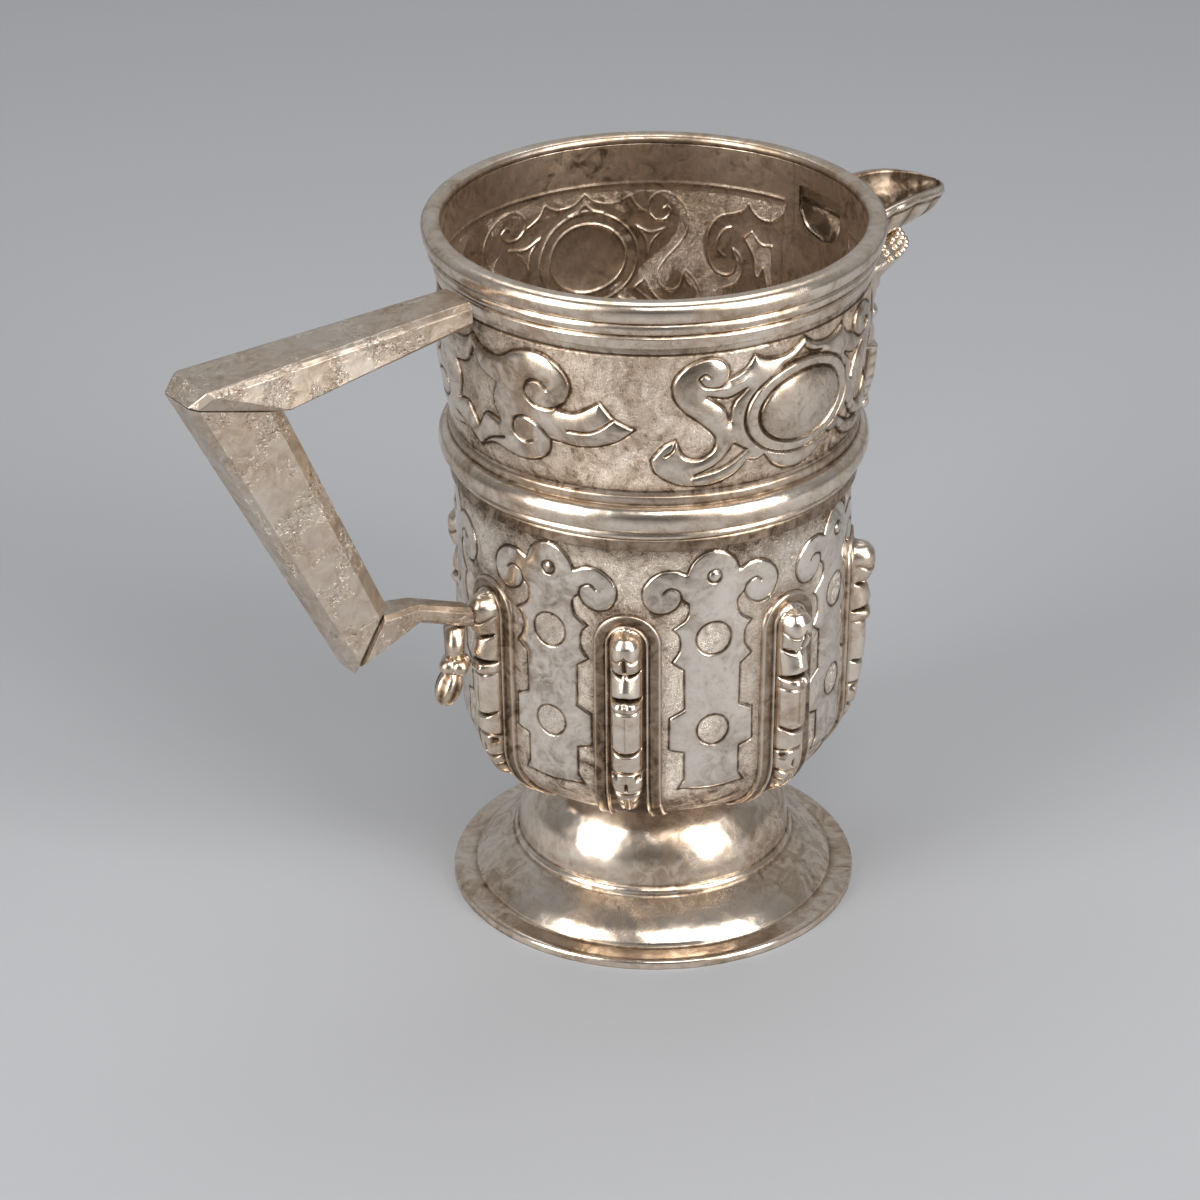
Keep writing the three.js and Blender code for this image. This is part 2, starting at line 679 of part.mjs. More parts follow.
// One level of the ornament. It stands against the wall and may rise towards its front.
// Below the wall it has a back of its own, because it hangs free there.
function ornamentRing(height, half, depth, { rise = 0, free = false } = {}) {
  const front = rimRadius + depth;
  const seat = upperWallRadius(height) + clearance;
  const back = (across) => (free ? front - leafThickness : Math.sqrt(seat ** 2 - across ** 2));
  const run = front - back(0);
  const ring = [-half, -half / 2, 0, half / 2, half].map((across) => [across, back(across)]);
  ring.push([half, back(half) + run * 0.4], [half * 0.6, front - run * 0.15], [0, front]);
  ring.push([-half * 0.6, front - run * 0.15], [-half, back(half) + run * 0.4]);
  return ring.map(([across, reach]) => {
    const share = (reach - back(half)) / (front - back(half));
    return new THREE.Vector3(reach, across, height + rise * share);
  });
}

function ornamentGeometry() {
  const top = spoutEdge - spoutDepth - clearance;
  const leafTop = middleRingTop + leafGap;
  const upper = (share) => THREE.MathUtils.lerp(top, leafTop, share);
  const lower = (share) => leafTop - leafLength * share;
  const free = { free: true };
  const body = lofted([
    ornamentRing(top, bandHalfWidth * 0.7, bandDepth - bandLip, { rise: bandRise }),
    ornamentRing(upper(0.11), bandHalfWidth, bandDepth, { rise: bandRise * 0.8 }),
    ornamentRing(upper(0.25), bandHalfWidth * 0.85, browDepth + 1, { rise: bandRise * 0.3 }),
    ornamentRing(upper(0.36), bandHalfWidth * 0.8, browDepth),
    ornamentRing(upper(0.63), bandHalfWidth * 0.7, browDepth - 1),
    ornamentRing(upper(0.88), leafHalfWidth, leafDepth),
    ornamentRing(leafTop, leafHalfWidth * 0.9, leafDepth),
    ornamentRing(lower(0.01), leafHalfWidth * 0.9, leafDepth, free),
    ornamentRing(lower(0.5), leafHalfWidth * 0.7, leafDepth - 0.2, free),
    ornamentRing(lower(0.86), leafHalfWidth * 0.35, leafDepth - 0.8, free),
  ]);
  const balls = [
    [bossRadius, bossDepth, upper(0.35)],
    [smallBossRadius, smallBossDepth, upper(0.74)],
    [endBeadRadius, leafDepth, lower(1) + endBeadRadius],
  ];
  return fromSolid(balls.reduce((solid, [radius, depth, height]) => {
    const ball = ballAt(radius, rimRadius + depth - radius, 0, height, 10, 8);
    return solid.add(ball);
  }, toSolid(body)));
}

addPiece('spout_ornament', ornamentGeometry(), castSilver);

// The jug's axis is set off so that the origin lies under the middle of the whole length
jug.position.x = (cornerReach - spoutTip) / 2;

const model = new THREE.Group();
model.add(jug);
model.updateMatrixWorld(true);

export default model;
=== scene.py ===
# %% [markdown]
# A spouted silver jug, dressed for its portrait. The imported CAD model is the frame: it fixes
# every size. This script gives each of its pieces the chased, cast or worn surface that the
# real metal has. Sizes are in millimetres from the jug's axis until a mesh is made.

# %% Load the frame
import math

import bmesh
import bpy
import numpy as np
from mathutils import Matrix, Vector


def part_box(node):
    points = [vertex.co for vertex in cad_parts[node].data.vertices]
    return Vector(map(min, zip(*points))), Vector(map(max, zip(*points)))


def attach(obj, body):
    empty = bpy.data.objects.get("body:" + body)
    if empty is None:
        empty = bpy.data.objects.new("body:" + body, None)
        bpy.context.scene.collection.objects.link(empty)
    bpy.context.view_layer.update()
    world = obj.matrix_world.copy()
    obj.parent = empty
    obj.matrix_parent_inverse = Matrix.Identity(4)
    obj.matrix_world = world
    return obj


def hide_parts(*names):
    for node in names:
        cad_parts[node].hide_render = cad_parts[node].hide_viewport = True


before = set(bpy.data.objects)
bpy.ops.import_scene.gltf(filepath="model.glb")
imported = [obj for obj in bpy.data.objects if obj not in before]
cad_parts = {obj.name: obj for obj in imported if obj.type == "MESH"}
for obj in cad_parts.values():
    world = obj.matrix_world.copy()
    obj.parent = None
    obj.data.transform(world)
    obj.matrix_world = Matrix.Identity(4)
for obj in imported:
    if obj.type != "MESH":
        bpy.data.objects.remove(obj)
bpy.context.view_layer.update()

MM = 0.001
flange_low, flange_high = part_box("foot_flange")
AXIS = (flange_low.x + flange_high.x) / 2


def in_frame(x, y, z):
    """A point in millimetres from the jug's axis becomes metres in the frame."""
    return Vector((AXIS + x * MM, y * MM, z * MM))


def placed(name, data):
    """Makes an object of the data, at the origin, and adds it to the scene."""
    made = bpy.data.objects.new(name, data)
    bpy.context.scene.collection.objects.link(made)
    return made


# %% [markdown]
# The camera stands in front, to the left and above. The round edges of foot, rings and rim
# show as ellipses: how flat and how large each one is fixes distance, height and lens.

# %% Camera
IMAGE_SIDE = 1200
SENSOR = 36.0
FOCAL_PIXELS = 4061.8
CAMERA_ROLL = -0.006
CAMERA_PLACE = in_frame(-468.8, -645.3, 484.6)
LOOKED_AT = in_frame(-9.6, 7.0, 67.7)

camera_data = bpy.data.cameras.new("camera")
camera_data.sensor_width = SENSOR
camera_data.lens = FOCAL_PIXELS / IMAGE_SIDE * SENSOR
camera_data.clip_start, camera_data.clip_end = 0.05, 20
camera = placed("camera", camera_data)
bpy.context.scene.camera = camera

forward = (LOOKED_AT - CAMERA_PLACE).normalized()
right = forward.cross(Vector((0, 0, 1))).normalized()
turn = Matrix((right, right.cross(forward), -forward)).transposed().to_4x4()
camera.matrix_world = Matrix.Translation(CAMERA_PLACE) @ turn @ Matrix.Rotation(CAMERA_ROLL, 4, "Z")
bpy.context.scene.view_settings.view_transform = "Standard"
print("camera at", [round(v, 3) for v in CAMERA_PLACE], "lens", round(camera_data.lens, 1))

# %% [markdown]
# Shader maths reads best as ordinary expressions. A small class wraps a socket, so that
# a * b or 1 - mask adds the Math node it stands for, and one method makes any other node.

# %% Shader helpers


class Value:
    """A number that varies over a surface: a socket with the usual operators."""

    def __init__(self, finish, socket):
        self.finish, self.socket = finish, socket

    def math(self, operation, *inputs, clamp=False):
        settings = {"operation": operation, "use_clamp": clamp}
        return self.finish.node("Math", settings, dict(enumerate(inputs)))

    def __add__(self, other):
        return self.math("ADD", self, other)

    def __sub__(self, other):
        return self.math("SUBTRACT", self, other)

    def __rsub__(self, other):
        return self.math("SUBTRACT", other, self)

    def __mul__(self, other):
        return self.math("MULTIPLY", self, other)

    __radd__, __rmul__ = __add__, __mul__

    def clamp(self):
        return self.math("ADD", self, 0.0, clamp=True)

    def ramp(self, low, high):
        """0 below low, 1 above high, and a straight slope between them."""
        return (self * (1 / (high - low)) - low / (high - low)).clamp()


class Finish:
    """The nodes of a material or of the world."""

    def __init__(self, block):
        self.block = block
        block.use_nodes = True
        self.tree = block.node_tree
        self.tree.nodes.clear()

    def node(self, kind, settings=None, inputs=None, output=0):
        """Makes a node: settings first, then each input's value or link. Returns one output."""
        made = self.tree.nodes.new("ShaderNode" + kind)
        for key, value in (settings or {}).items():
            setattr(made, key, value)
        for key, value in (inputs or {}).items():
            if isinstance(value, Value):
                self.tree.links.new(value.socket, made.inputs[key])
            else:
                made.inputs[key].default_value = value
        return Value(self, made.outputs[output]) if made.outputs else None

    def noise(self, where, scale, detail=4.0, distortion=0.0, roughness=0.55):
        inputs = {"Vector": where, "Scale": scale, "Detail": detail,
                  "Distortion": distortion, "Roughness": roughness}
        return self.node("TexNoise", {}, inputs)

    def mix(self, factor, a, b):
        """Mixes two colours, each a triple or a link."""
        colours = [v if isinstance(v, Value) else (*v, 1) for v in (a, b)]
        inputs = {0: factor, 6: colours[0], 7: colours[1]}
        return self.node("Mix", {"data_type": "RGBA"}, inputs, output=2)

    def attribute(self, name):
        return self.node("Attribute", {"attribute_name": name}, output=2)

    def along(self, vector, output):
        """How far a point lies along a vector: their dot product. The point is one of the
        outputs of Texture Coordinate."""
        place = self.node("TexCoord", output=output)
        return self.node("VectorMath", {"operation": "DOT_PRODUCT"}, {0: place, 1: vector}, output=1)


OBJECT_PLACE, DIRECTION = 3, 0  # the outputs of Texture Coordinate that are used
print("shader helpers ready")

# %% [markdown]
# Old silver is never one colour. It is bright where hands and cloths rub it, and warm brown
# where tarnish stays: in cuts and in the punched ground. Beside ribs, lines and bosses the brown
# is painted shade. Each mesh carries three numbers per point, one for tarnish and painted shade,
# one for the punched ground and one for the inside, and one recipe turns them into colour, gloss
# and a fine punched or pitted surface.

# %% Silver finishes
BRIGHT = (0.95, 0.87, 0.77)
WARM = (0.68, 0.51, 0.36)
TARNISH = (0.085, 0.055, 0.034)
SURFACE_KEYS = ("recess", "ground", "inner")


def silver(name, film, polish, stain, pits=0.0, even=0.0):
    """Colour runs from bright metal over a warm film to brown tarnish. The film comes in slow
    clouds and small patches. The tarnish lies in the low places of the punched ground, in
    stains where cloud and patch meet and in each mesh's darkening value, which is tarnish in
    cuts and hollows and painted shade beside lines, ribs and bosses. Roughness follows both.
    A noise's scale is in marks per metre: clouds are 24 mm wide, patches 5 and specks 1."""
    f = Finish(bpy.data.materials.new(name))
    where = f.node("TexCoord", output=OBJECT_PLACE)
    recess, ground, inner = map(f.attribute, SURFACE_KEYS)
    clouds = f.noise(where, 42, 5, 0.8, 0.6).ramp(0.36, 0.66)
    patches = f.noise(where, 185, 6, 1.5, 0.65).ramp(0.4, 0.68)
    specks = f.noise(where, 900, 3).ramp(0.56, 0.72)
    worms = f.noise(where, 980, 2, 2.8, 0.6)
    strokes = ground * worms.ramp(0.42, 0.49) * worms.ramp(0.58, 0.51)
    # The mesh's per-point darkening browns the colour here and darkens it below: tarnish in cuts and
    # hollows, painted shade beside lines, ribs and bosses.
    dirt_and_shade = clouds * film + patches * (film * 0.7) + ground * 0.12 + inner * 0.22 + recess * 0.7
    dirt_and_shade = dirt_and_shade + (film * 0.5 - 0.1)
    colour = f.mix(dirt_and_shade.clamp(), BRIGHT, WARM)
    grime_and_shade = recess * (patches * 0.35 + 0.8) + strokes * 0.45 + clouds * patches * stain
    grime_and_shade = grime_and_shade + specks * (0.3 * stain) + inner * (patches * 0.3 + 0.01) + even
    colour = f.mix(grime_and_shade.clamp(), colour, TARNISH)

    grain_place = f.node("Mapping", {}, {"Vector": where, "Scale": (1.0, 1.0, 0.12)})
    grain = f.noise(grain_place, 1500, 2) * (inner * 0.5 + 0.042)
    dents = f.noise(where, 150, 2)
    height = ground * worms * 0.8 - strokes * 1.4 + grain + dents * 1.6
    if pits:
        maze = f.noise(where, 700, 2, 2.5)
        stroke = maze.ramp(0.44, 0.49) * maze.ramp(0.54, 0.5)
        pit = (stroke + specks) * f.noise(where, 130, 2).ramp(0.44, 0.6)
        height = height - pit * pits
        colour = f.mix((pit * (0.4 * pits)).clamp(), colour, TARNISH)
    bump = f.node("Bump", {}, {"Strength": 0.6, "Distance": 0.0002, "Height": height})
    rough = dirt_and_shade * 0.08 + grime_and_shade * 0.2 + ground * 0.16 + inner * 0.1 + polish
    inputs = {"Base Color": colour, "Metallic": 1.0, "Roughness": rough.clamp(), "Normal": bump}
    shader = f.node("BsdfPrincipled", {}, inputs)
    f.node("OutputMaterial", {}, {"Surface": shader})
    return f.block


# The upper wall's film is thicker than the bowl's, partly as painted light and shade: the bowl's lighter
# silver stands in for light from below, the upper wall's darker silver for a darker room.
FRIEZE_IN_SHADE = silver("chased silver of the upper wall, darker as painted shade", film=0.48, polish=0.15, stain=0.85)
SHEET_IN_LIGHT = silver("chased silver of the bowl, lighter as painted light", film=0.25, polish=0.12, stain=0.8)
FOOT = silver("smooth worn silver", film=0.55, polish=0.17, stain=0.7)
RINGS = silver("drawn moulding silver", film=0.52, polish=0.2, stain=0.5)
CAST = silver("cast and chased silver", film=0.5, polish=0.19, stain=0.5)
BAR = silver("pitted handle silver", film=0.5, polish=0.24, stain=0.35, pits=0.9, even=0.27)
print("finishes:", ", ".join(m.name for m in bpy.data.materials))

# %% [markdown]
# Every new piece is a surface worked out with numpy: a grid of points from two parameters,
# with quads between neighbours. Closed shells can be joined into one piece. A shell that
# comes out inside out has a negative volume, so its faces are turned round.

# %% Mesh helpers


def grid_faces(rows, columns, wrap_rows=False, wrap_columns=False):
    """Quads between neighbours of a grid whose points are numbered row by row."""
    row = np.arange(rows if wrap_rows else rows - 1)
    column = np.arange(columns if wrap_columns else columns - 1)
    r, c = np.meshgrid(row, column, indexing="ij")
    r2, c2 = (r + 1) % rows, (c + 1) % columns
    quads = np.stack([r * columns + c, r * columns + c2, r2 * columns + c2, r2 * columns + c], -1)
    return quads.reshape(-1, 4)


def volume(points, faces):
    """Six times the volume inside: each face is fanned into triangles, whose corners'
    triple products are added up."""
    total = 0.0
    for group in faces:
        for i in range(1, group.shape[1] - 1):
            a, b, c = points[group[:, 0]], points[group[:, i]], points[group[:, i + 1]]
            total += np.einsum("ij,ij->", a, np.cross(b, c))
    return total


class Shell:
    """Points in millimetres, groups of faces with the same number of corners, and values."""

    def __init__(self, points, faces, **values):
        self.points = np.asarray(points, float).reshape(-1, 3)
        self.faces = [np.asarray(g, int) for g in faces]
        self.values = {k: np.asarray(v, float).ravel() for k, v in values.items()}
        if volume(self.points, self.faces) < 0:
            self.faces = [g[:, ::-1] for g in self.faces]


def tube(points, **values):
    """A closed shell. Each row of points is a section, and a polygon closes each end."""
    rows, count = points.shape[:2]
    ends = [np.arange(count)[None, ::-1], (rows - 1) * count + np.arange(count)[None]]
    return Shell(points, [grid_faces(rows, count, wrap_columns=True), *ends], **values)


def handed_over(name, mesh, material, nodes):
    mesh.materials.append(material)
    piece = placed(name, mesh)
    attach(piece, "root")
    if nodes:
        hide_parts(*nodes)
    print(f"{name}: {len(mesh.loops) - 2 * len(mesh.polygons)} triangles")
    return piece


def finished(name, shells, material, nodes=(), normals=None):
    """Makes one mesh of the shells, in metres in the frame, and hands it over."""
    faces, offset = [], 0
    for shell in shells:
        for group in shell.faces:
            faces += (group + offset).tolist()
        offset += len(shell.points)
    points = np.vstack([shell.points for shell in shells]) * MM + [AXIS, 0, 0]
    mesh = bpy.data.meshes.new(name)
    mesh.from_pydata(points.tolist(), [], faces, shade_flat=False)
    for key in SURFACE_KEYS:
        value = np.concatenate([s.values.get(key, np.zeros(len(s.points))) for s in shells])
        layer = mesh.attributes.new(key, "FLOAT", "POINT")
        layer.data.foreach_set("value", value.astype(np.float32))
    if normals is not None:
        mesh.normals_split_custom_set_from_vertices(normals.astype(float).tolist())
    return handed_over(name, mesh, material, nodes)


def curve(points, step=0.5):
    """A Catmull-Rom curve through the points. Between p1 and p2 it is the cubic that leaves
    with half of p2 - p0 and arrives with half of p3 - p1, cut into steps of about that size."""
    p = np.asarray(points, float)
    least = min(len(p) - 1, 2)
    p = np.vstack([2 * p[0] - p[1], p, 2 * p[-1] - p[-2]])
    pieces = []
    for p0, p1, p2, p3 in zip(p, p[1:], p[2:], p[3:]):
        count = max(int(np.linalg.norm(p2 - p1) / step), least)
        t = np.linspace(0, 1, count, endpoint=False)[:, None]
        pieces.append(0.5 * (2 * p1 + (p2 - p0) * t + (2 * p0 - 5 * p1 + 4 * p2 - p3) * t**2
                             + (3 * p1 - p0 - 3 * p2 + p3) * t**3))
    return np.vstack([*pieces, p[-2]])


def run(*parts, step=0.5):
    """Smooth curves joined at sharp corners: each part goes on from the last point of the one
    before it."""
    lines, corner = [], []
    for part in parts:
        lines.append(curve(corner + part, step)[:-1])
        corner = part[-1:]
    return np.vstack([*lines, corner])


def whole(half):
    """A closed outline from one half of it, whose ends lie on the mirror line x = 0."""
    return np.vstack([half, half[-2:0:-1] * [-1, 1]])


def wobble(angle, height):
    """The unevenness of hand-raised metal: low waves round the jug and up it, and hammer marks
    as products of shorter waves."""
    waves = 0.05 * np.sin(3 * angle + 0.05 * height) + 0.03 * np.sin(7 * angle - 0.09 * height + 1)
    marks = np.sin(29 * angle + 0.35 * height) * np.sin(0.62 * height + 11 * angle + 2)
    return waves + 0.03 * np.sin(0.21 * height + 5 * angle) + 0.03 * marks


def all_round(count):
    """Angles of a full turn, in equal steps."""
    return np.linspace(0, 2 * np.pi, count, endpoint=False)


def round_points(radius, angle, height):
    """Points at x = radius * cos(angle), y = radius * sin(angle)."""
    return np.stack([radius * np.cos(angle), radius * np.sin(angle), height], -1)


def turned(outline, values, columns=360):
    """A closed outline of (radius, height) turned round the axis, with a value for tarnish and
    shade at each point of the outline."""
    angle = all_round(columns)
    radius, height = outline[:, :1], outline[:, 1:]
    radius = radius + wobble(angle, height) * np.minimum(radius / 40, 1)
    points = round_points(radius, angle, height + 0 * radius)
    faces = grid_faces(len(outline), columns, wrap_rows=True, wrap_columns=True)
    return Shell(points, [faces], recess=np.repeat(values, columns))


def hollows(outline, reach=1.2, strength=3.6):
    """How deep each point of an outline lies in a hollow: how far it is below the mean of its
    neighbours, out to the reach. It darkens the grooves of a moulding."""
    steps = np.linalg.norm(np.diff(outline, axis=0, append=outline[:1]), axis=1)
    window = max(int(reach / max(np.median(steps), 1e-6)), 1)
    kernel = np.ones(2 * window + 1) / (2 * window + 1)
    around = np.convolve(np.pad(outline[:, 0], window, mode="wrap"), kernel, mode="valid")
    return np.clip((around - outline[:, 0]) * strength, 0, 1)


print("mesh helpers ready")

# %% [markdown]
# The foot is spun from sheet: a flat flange, a spreading hollow curve, a ledge, a bulging
# dome and a small collar. A turned outline gives all of it. The tarnish stays in the inner
# corners, so the outline's own hollows drive its darkening value.

# %% Foot
foot_outside = run(
    [(45.5, 0), (45.5, 1.3)],
    [(45.2, 1.85), (44.4, 2.1)],
    [(41, 2.3)],
    [(40.4, 2.6), (40.3, 3.1)],
    [(38.5, 5.2), (36.1, 7.2), (33.6, 9), (31.8, 10.2)],
    [(31.55, 10.6)],
    [(31.4, 11.4), (30.6, 12.1)],
    [(30.45, 12.9)],
    [(30.2, 16), (29, 20), (26.7, 23.5), (23.8, 26.5), (21.7, 28.4), (21.3, 28.9)],
    [(22.6, 29.2), (23.3, 30), (23.3, 30.6), (22.6, 31)],
    step=0.4,
)
foot_inside = run(
    [(22.6, 31), (18.4, 31)],
    [(19.5, 28.4), (23.2, 24.8), (26.6, 20.5), (28.6, 15), (29, 11.2)],
    [(30.6, 9.4), (34, 7), (37.2, 4.6), (38, 2.4)],
    [(38, 0)], [(45.5, 0)],
    step=1.2,
)
foot_outline = np.vstack([foot_outside, foot_inside[1:-1]])
foot = turned(foot_outline, hollows(foot_outline))
finished("foot_spun", [foot], FOOT,
         ["foot_flange", "foot_ogee", "foot_dome", "foot_collar"])

# %% [markdown]
# The two rings are drawn mouldings soldered round the wall. Each is a row of flats, beads
# and grooves. A bead is a short smooth curve, and a groove is the sharp corner between two.

# %% Middle ring and rim ring
middle_outside = run(
    [(43.3, 102), (44.3, 102.1)],
    [(44.4, 104.4)], [(44.15, 104.8)],
    [(44.6, 105.1), (44.9, 105.7), (44.7, 106.4)],
    [(44.5, 106.7)],
    [(45.7, 107.1), (46.4, 108.2), (46.65, 109.7), (46.4, 111.2), (45.6, 112.3), (44.6, 112.7)],
    [(44.45, 113)], [(44.5, 114.4)],
    [(44.3, 114.9), (43.3, 115)],
    step=0.22,
)
middle_outline = np.vstack([middle_outside, [(42.9, 113), (42.9, 104)]])
bands = (middle_outline[:, 1] < 104.6) * 0.6 + (middle_outline[:, 1] > 112.9) * 0.3
middle_ring = turned(middle_outline, np.clip(hollows(middle_outline, 0.9) + bands, 0, 1))
finished("middle_moulding", [middle_ring], RINGS, ["middle_ring"])

rim_outside = run(
    [(46.2, 149.2), (46.9, 149.3)],
    [(47.3, 151.6)], [(46.9, 152)], [(46.8, 152.4)],
    [(47.6, 152.7), (48.15, 153.5), (48.3, 154.3), (48.1, 154.9)],
    [(47.8, 155.2)],
    [(48.5, 155.6), (49.1, 156.5), (49.36, 157.6), (49.3, 158.6), (48.7, 159.5), (47.8, 159.93)],
    [(46.6, 159.96), (45.5, 159.7), (45.05, 159)],
    [(45.05, 158.1)],
    step=0.22,
)
rim_outline = np.vstack([rim_outside, [(45.8, 157.2), (45.9, 151)]])
rim_ring = turned(rim_outline, hollows(rim_outline, 0.9))
finished("rim_moulding", [rim_ring], RINGS, ["rim_ring"])

# %% [markdown]
# The chasing is a drawing first: outlines of straps, scrolls and leaves on the unrolled wall.
# The distance from each point of the wall to the nearest line then shapes the metal: inside a
# strap it is raised, on the line it is cut, and outside it is left low for the punches.

# %% Distances to drawn lines


def to_line(x, y, line):
    """The distance from each point to a row of straight pieces: the nearest point of a piece
    from a to b is a + t * (b - a), with t held between 0 and 1."""
    nearest = np.full(x.shape, 1e9)
    for (ax, ay), (bx, by) in zip(line, line[1:]):
        dx, dy = bx - ax, by - ay
        t = np.clip(((x - ax) * dx + (y - ay) * dy) / max(dx * dx + dy * dy, 1e-12), 0, 1)
        nearest = np.minimum(nearest, (x - ax - t * dx) ** 2 + (y - ay - t * dy) ** 2)
    return np.sqrt(nearest)


def to_shape(x, y, line):
    """The distance to a closed outline, negative inside it. A point is inside if a ray from
    it crosses the outline an odd number of times."""
    line = np.vstack([line, line[:1]])
    inside = np.zeros(x.shape, bool)
    for (ax, ay), (bx, by) in zip(line, line[1:]):
        if ay != by:
            crosses = (y < ay) != (y < by)
            inside ^= crosses & (x < ax + (y - ay) / (by - ay) * (bx - ax))
    return np.where(inside, -1, 1) * to_line(x, y, line)


def near_only(measure, x, y, line, margin=4.0):
    """The same distance, worked out only where a point is near enough for it to count."""
    low, high = line.min(0) - margin, line.max(0) + margin
    close = (x > low[0]) & (x < high[0]) & (y > low[1]) & (y < high[1])
    distance = np.full(x.shape, margin)
    distance[close] = measure(x[close], y[close], line)
    return distance


def smooth(value, low, high):
    """0 below low, 1 above high, and 3 t^2 - 2 t^3 between them."""
    t = np.clip((value - low) / (high - low), 0, 1)
    return t * t * (3 - 2 * t)


def cut_line(distance, width):
    """The section of an engraved line: a bell curve, 1 on the line."""
    return np.exp(-((distance / width) ** 2))


print("distance helpers ready")

# %% [markdown]
# The frieze has three designs. A cartouche with an oval boss between S scrolls stands at
# each side, and a pair of volutes with a pointed leaf behind the handle. Beside the spout two
# more volutes end at an upright line. Only half of each is drawn, in millimetres along the wall
# and above the table, because each design is its own mirror image.

# %% Frieze drawing
DRAWN = 45.6  # radius on which the drawing is unrolled
SIDE_CENTRES = np.radians([84.3, 275.7])
HANDLE_CENTRE = np.radians([180.0])
SPOUT_CENTRE = np.radians([0.0])
BORDER = 11.5  # from the spout's middle to the upright line that ends the frieze
TOP_LINE, LOW_LINE = 147.6, 116.0  # heights of the lines that frame it
BOSS, BOSS_RING = (11.0, 8.0), (14.2, 10.6)  # half width and half height of each oval
BOSS_HEIGHT = 131.8
STRAP_RISE, FIELD_RISE, BOSS_RISE, BAND_RISE = 0.85, 0.75, 1.4, 0.35  # over the plain wall

side_half = run(
    [(0, 147), (-3, 144.9), (-6.5, 144.2), (-9.5, 144.6), (-12.3, 146)],
    [(-13.6, 143.9), (-15.4, 142.5), (-17.8, 141.5)],
    [(-17.6, 143.5), (-18.9, 145.6), (-22.1, 146.6), (-26.2, 145.3), (-29.2, 142),
     (-29.3, 138.2), (-27.2, 134.8), (-23.1, 131.2), (-20.4, 128), (-21, 124.9), (-24, 123.4),
     (-27, 124.6), (-28.6, 128.4)],
    [(-31.3, 126.9), (-34, 123.6)],
    [(-32.7, 120.2), (-28, 117.4), (-21.5, 116.9), (-16.3, 118.5), (-12.7, 121.6)],
    [(-10.8, 121.2), (-8.9, 122)],
    [(-6.4, 118.9), (-3.2, 117.2), (0, 116.7)],
)
side_outline = whole(side_half)
side_windows = [
    run([(-22.3, 137.9), (-18, 137), (-13.8, 138.6)], [(-16.6, 135.6), (-17.3, 131.5)],
        [(-18.6, 134.8), (-22.3, 137.9)]),
    run([(-5, 142.1), (-2.2, 142.9), (0, 144.7)], [(2.2, 142.9), (5, 142.1)],
        [(0, 142.9), (-5, 142.1)]),
    run([(-16.3, 126.2), (-13.2, 124.1)], [(-18.5, 120.9), (-25, 119.4)],
        [(-19.6, 122), (-16.3, 126.2)]),
]
side_cuts = [
    curve([(-17.8, 141.5), (-19.9, 139.9), (-22.8, 140.3), (-24.1, 142.2), (-22.9, 143.2), (-22, 142.5)]),
    curve([(-28.6, 128.4), (-29.3, 125.9), (-31, 124.6)]),
]

end_half = run(
    [(0, 144.6), (3.2, 142.4), (8, 142), (12.5, 144.6), (16.5, 145.7), (20.9, 144.9), (24.6, 141.9),
     (25.7, 138.6), (24.4, 135.3), (22.6, 133.5)],
    [(26.5, 133.4), (31.9, 136.6)],
    [(35, 132.9), (39.3, 130.6)],
    [(35, 127.4), (28.6, 125.6), (20.8, 126)],
    [(20.2, 122.9), (17.6, 120.6), (13.6, 119.6), (9.5, 119.9), (5, 120.6), (0, 118.4)],
)
end_outline = whole(end_half)
star_half = run(
    [(0, 141.2), (2.6, 137.2), (7.1, 135.6)],
    [(5.9, 131.5), (7.5, 126.8)],
    [(3.2, 127.3), (0, 123.4)],
)
end_windows = [whole(star_half)]
end_cuts = [
    curve([(24.4, 135.3), (21.4, 133.5), (17.6, 133.9), (15.3, 136.3), (16.4, 139), (19, 139.4),
           (20.7, 137.9)]),
    curve([(16.6, 125), (14.4, 124.5), (12, 126.2), (12.2, 129), (14.8, 130.4), (18.3, 129.2),
           (20.8, 126)]),
    curve([(25.1, 129.2), (30.1, 129.6), (35, 132.9)]),
    curve([(0, 118.4), (4, 121.6), (9, 123.6)]),
]

spout_half = run(
    [(BORDER, 145.6), (13.6, 143.6), (15.6, 142.6), (17.8, 142.8), (19.7, 144), (20.9, 145.8)],
    [(22, 144.1), (24, 143), (27, 142.1), (29.1, 140.6), (30.9, 138.2), (31.4, 135.4),
     (31.2, 132.5), (30, 130.1), (28.1, 128.5), (25.6, 128.2), (24, 129.6), (23.6, 132),
     (24.5, 134.5)],
    [(22.9, 133.2), (22.1, 131.1), (22.3, 128.8), (23.6, 126.6), (26.5, 125.1)],
    [(25.4, 121.9), (21.8, 119.4), (17.6, 119.9)],
    [(15, 118.2), (BORDER, 118)], [(BORDER, 145.6)],
)
spout_windows = [
    run([(20, 139.2), (21.8, 137.6)], [(19.3, 133.8), (18.7, 130), (17.8, 129.2), (16.7, 131.5)],
        [(14.9, 126)], [(13.8, 127.5), (14.6, 137)], [(17.5, 136.8), (20, 139.2)]),
]
spout_cuts = [
    curve([(25.2, 139.4), (26.7, 138.7), (28, 136.8), (28.3, 134.5), (27.6, 133.2), (26.5, 132.5)]),
]


def folded(angle, centres, drawn):
    """The distance along the metal to the nearest centre, left or right of it alike, where
    drawn is the radius that the drawing is unrolled on."""
    off = [np.abs((angle - c + np.pi) % (2 * np.pi) - np.pi) for c in centres]
    return np.min(off, axis=0) * drawn


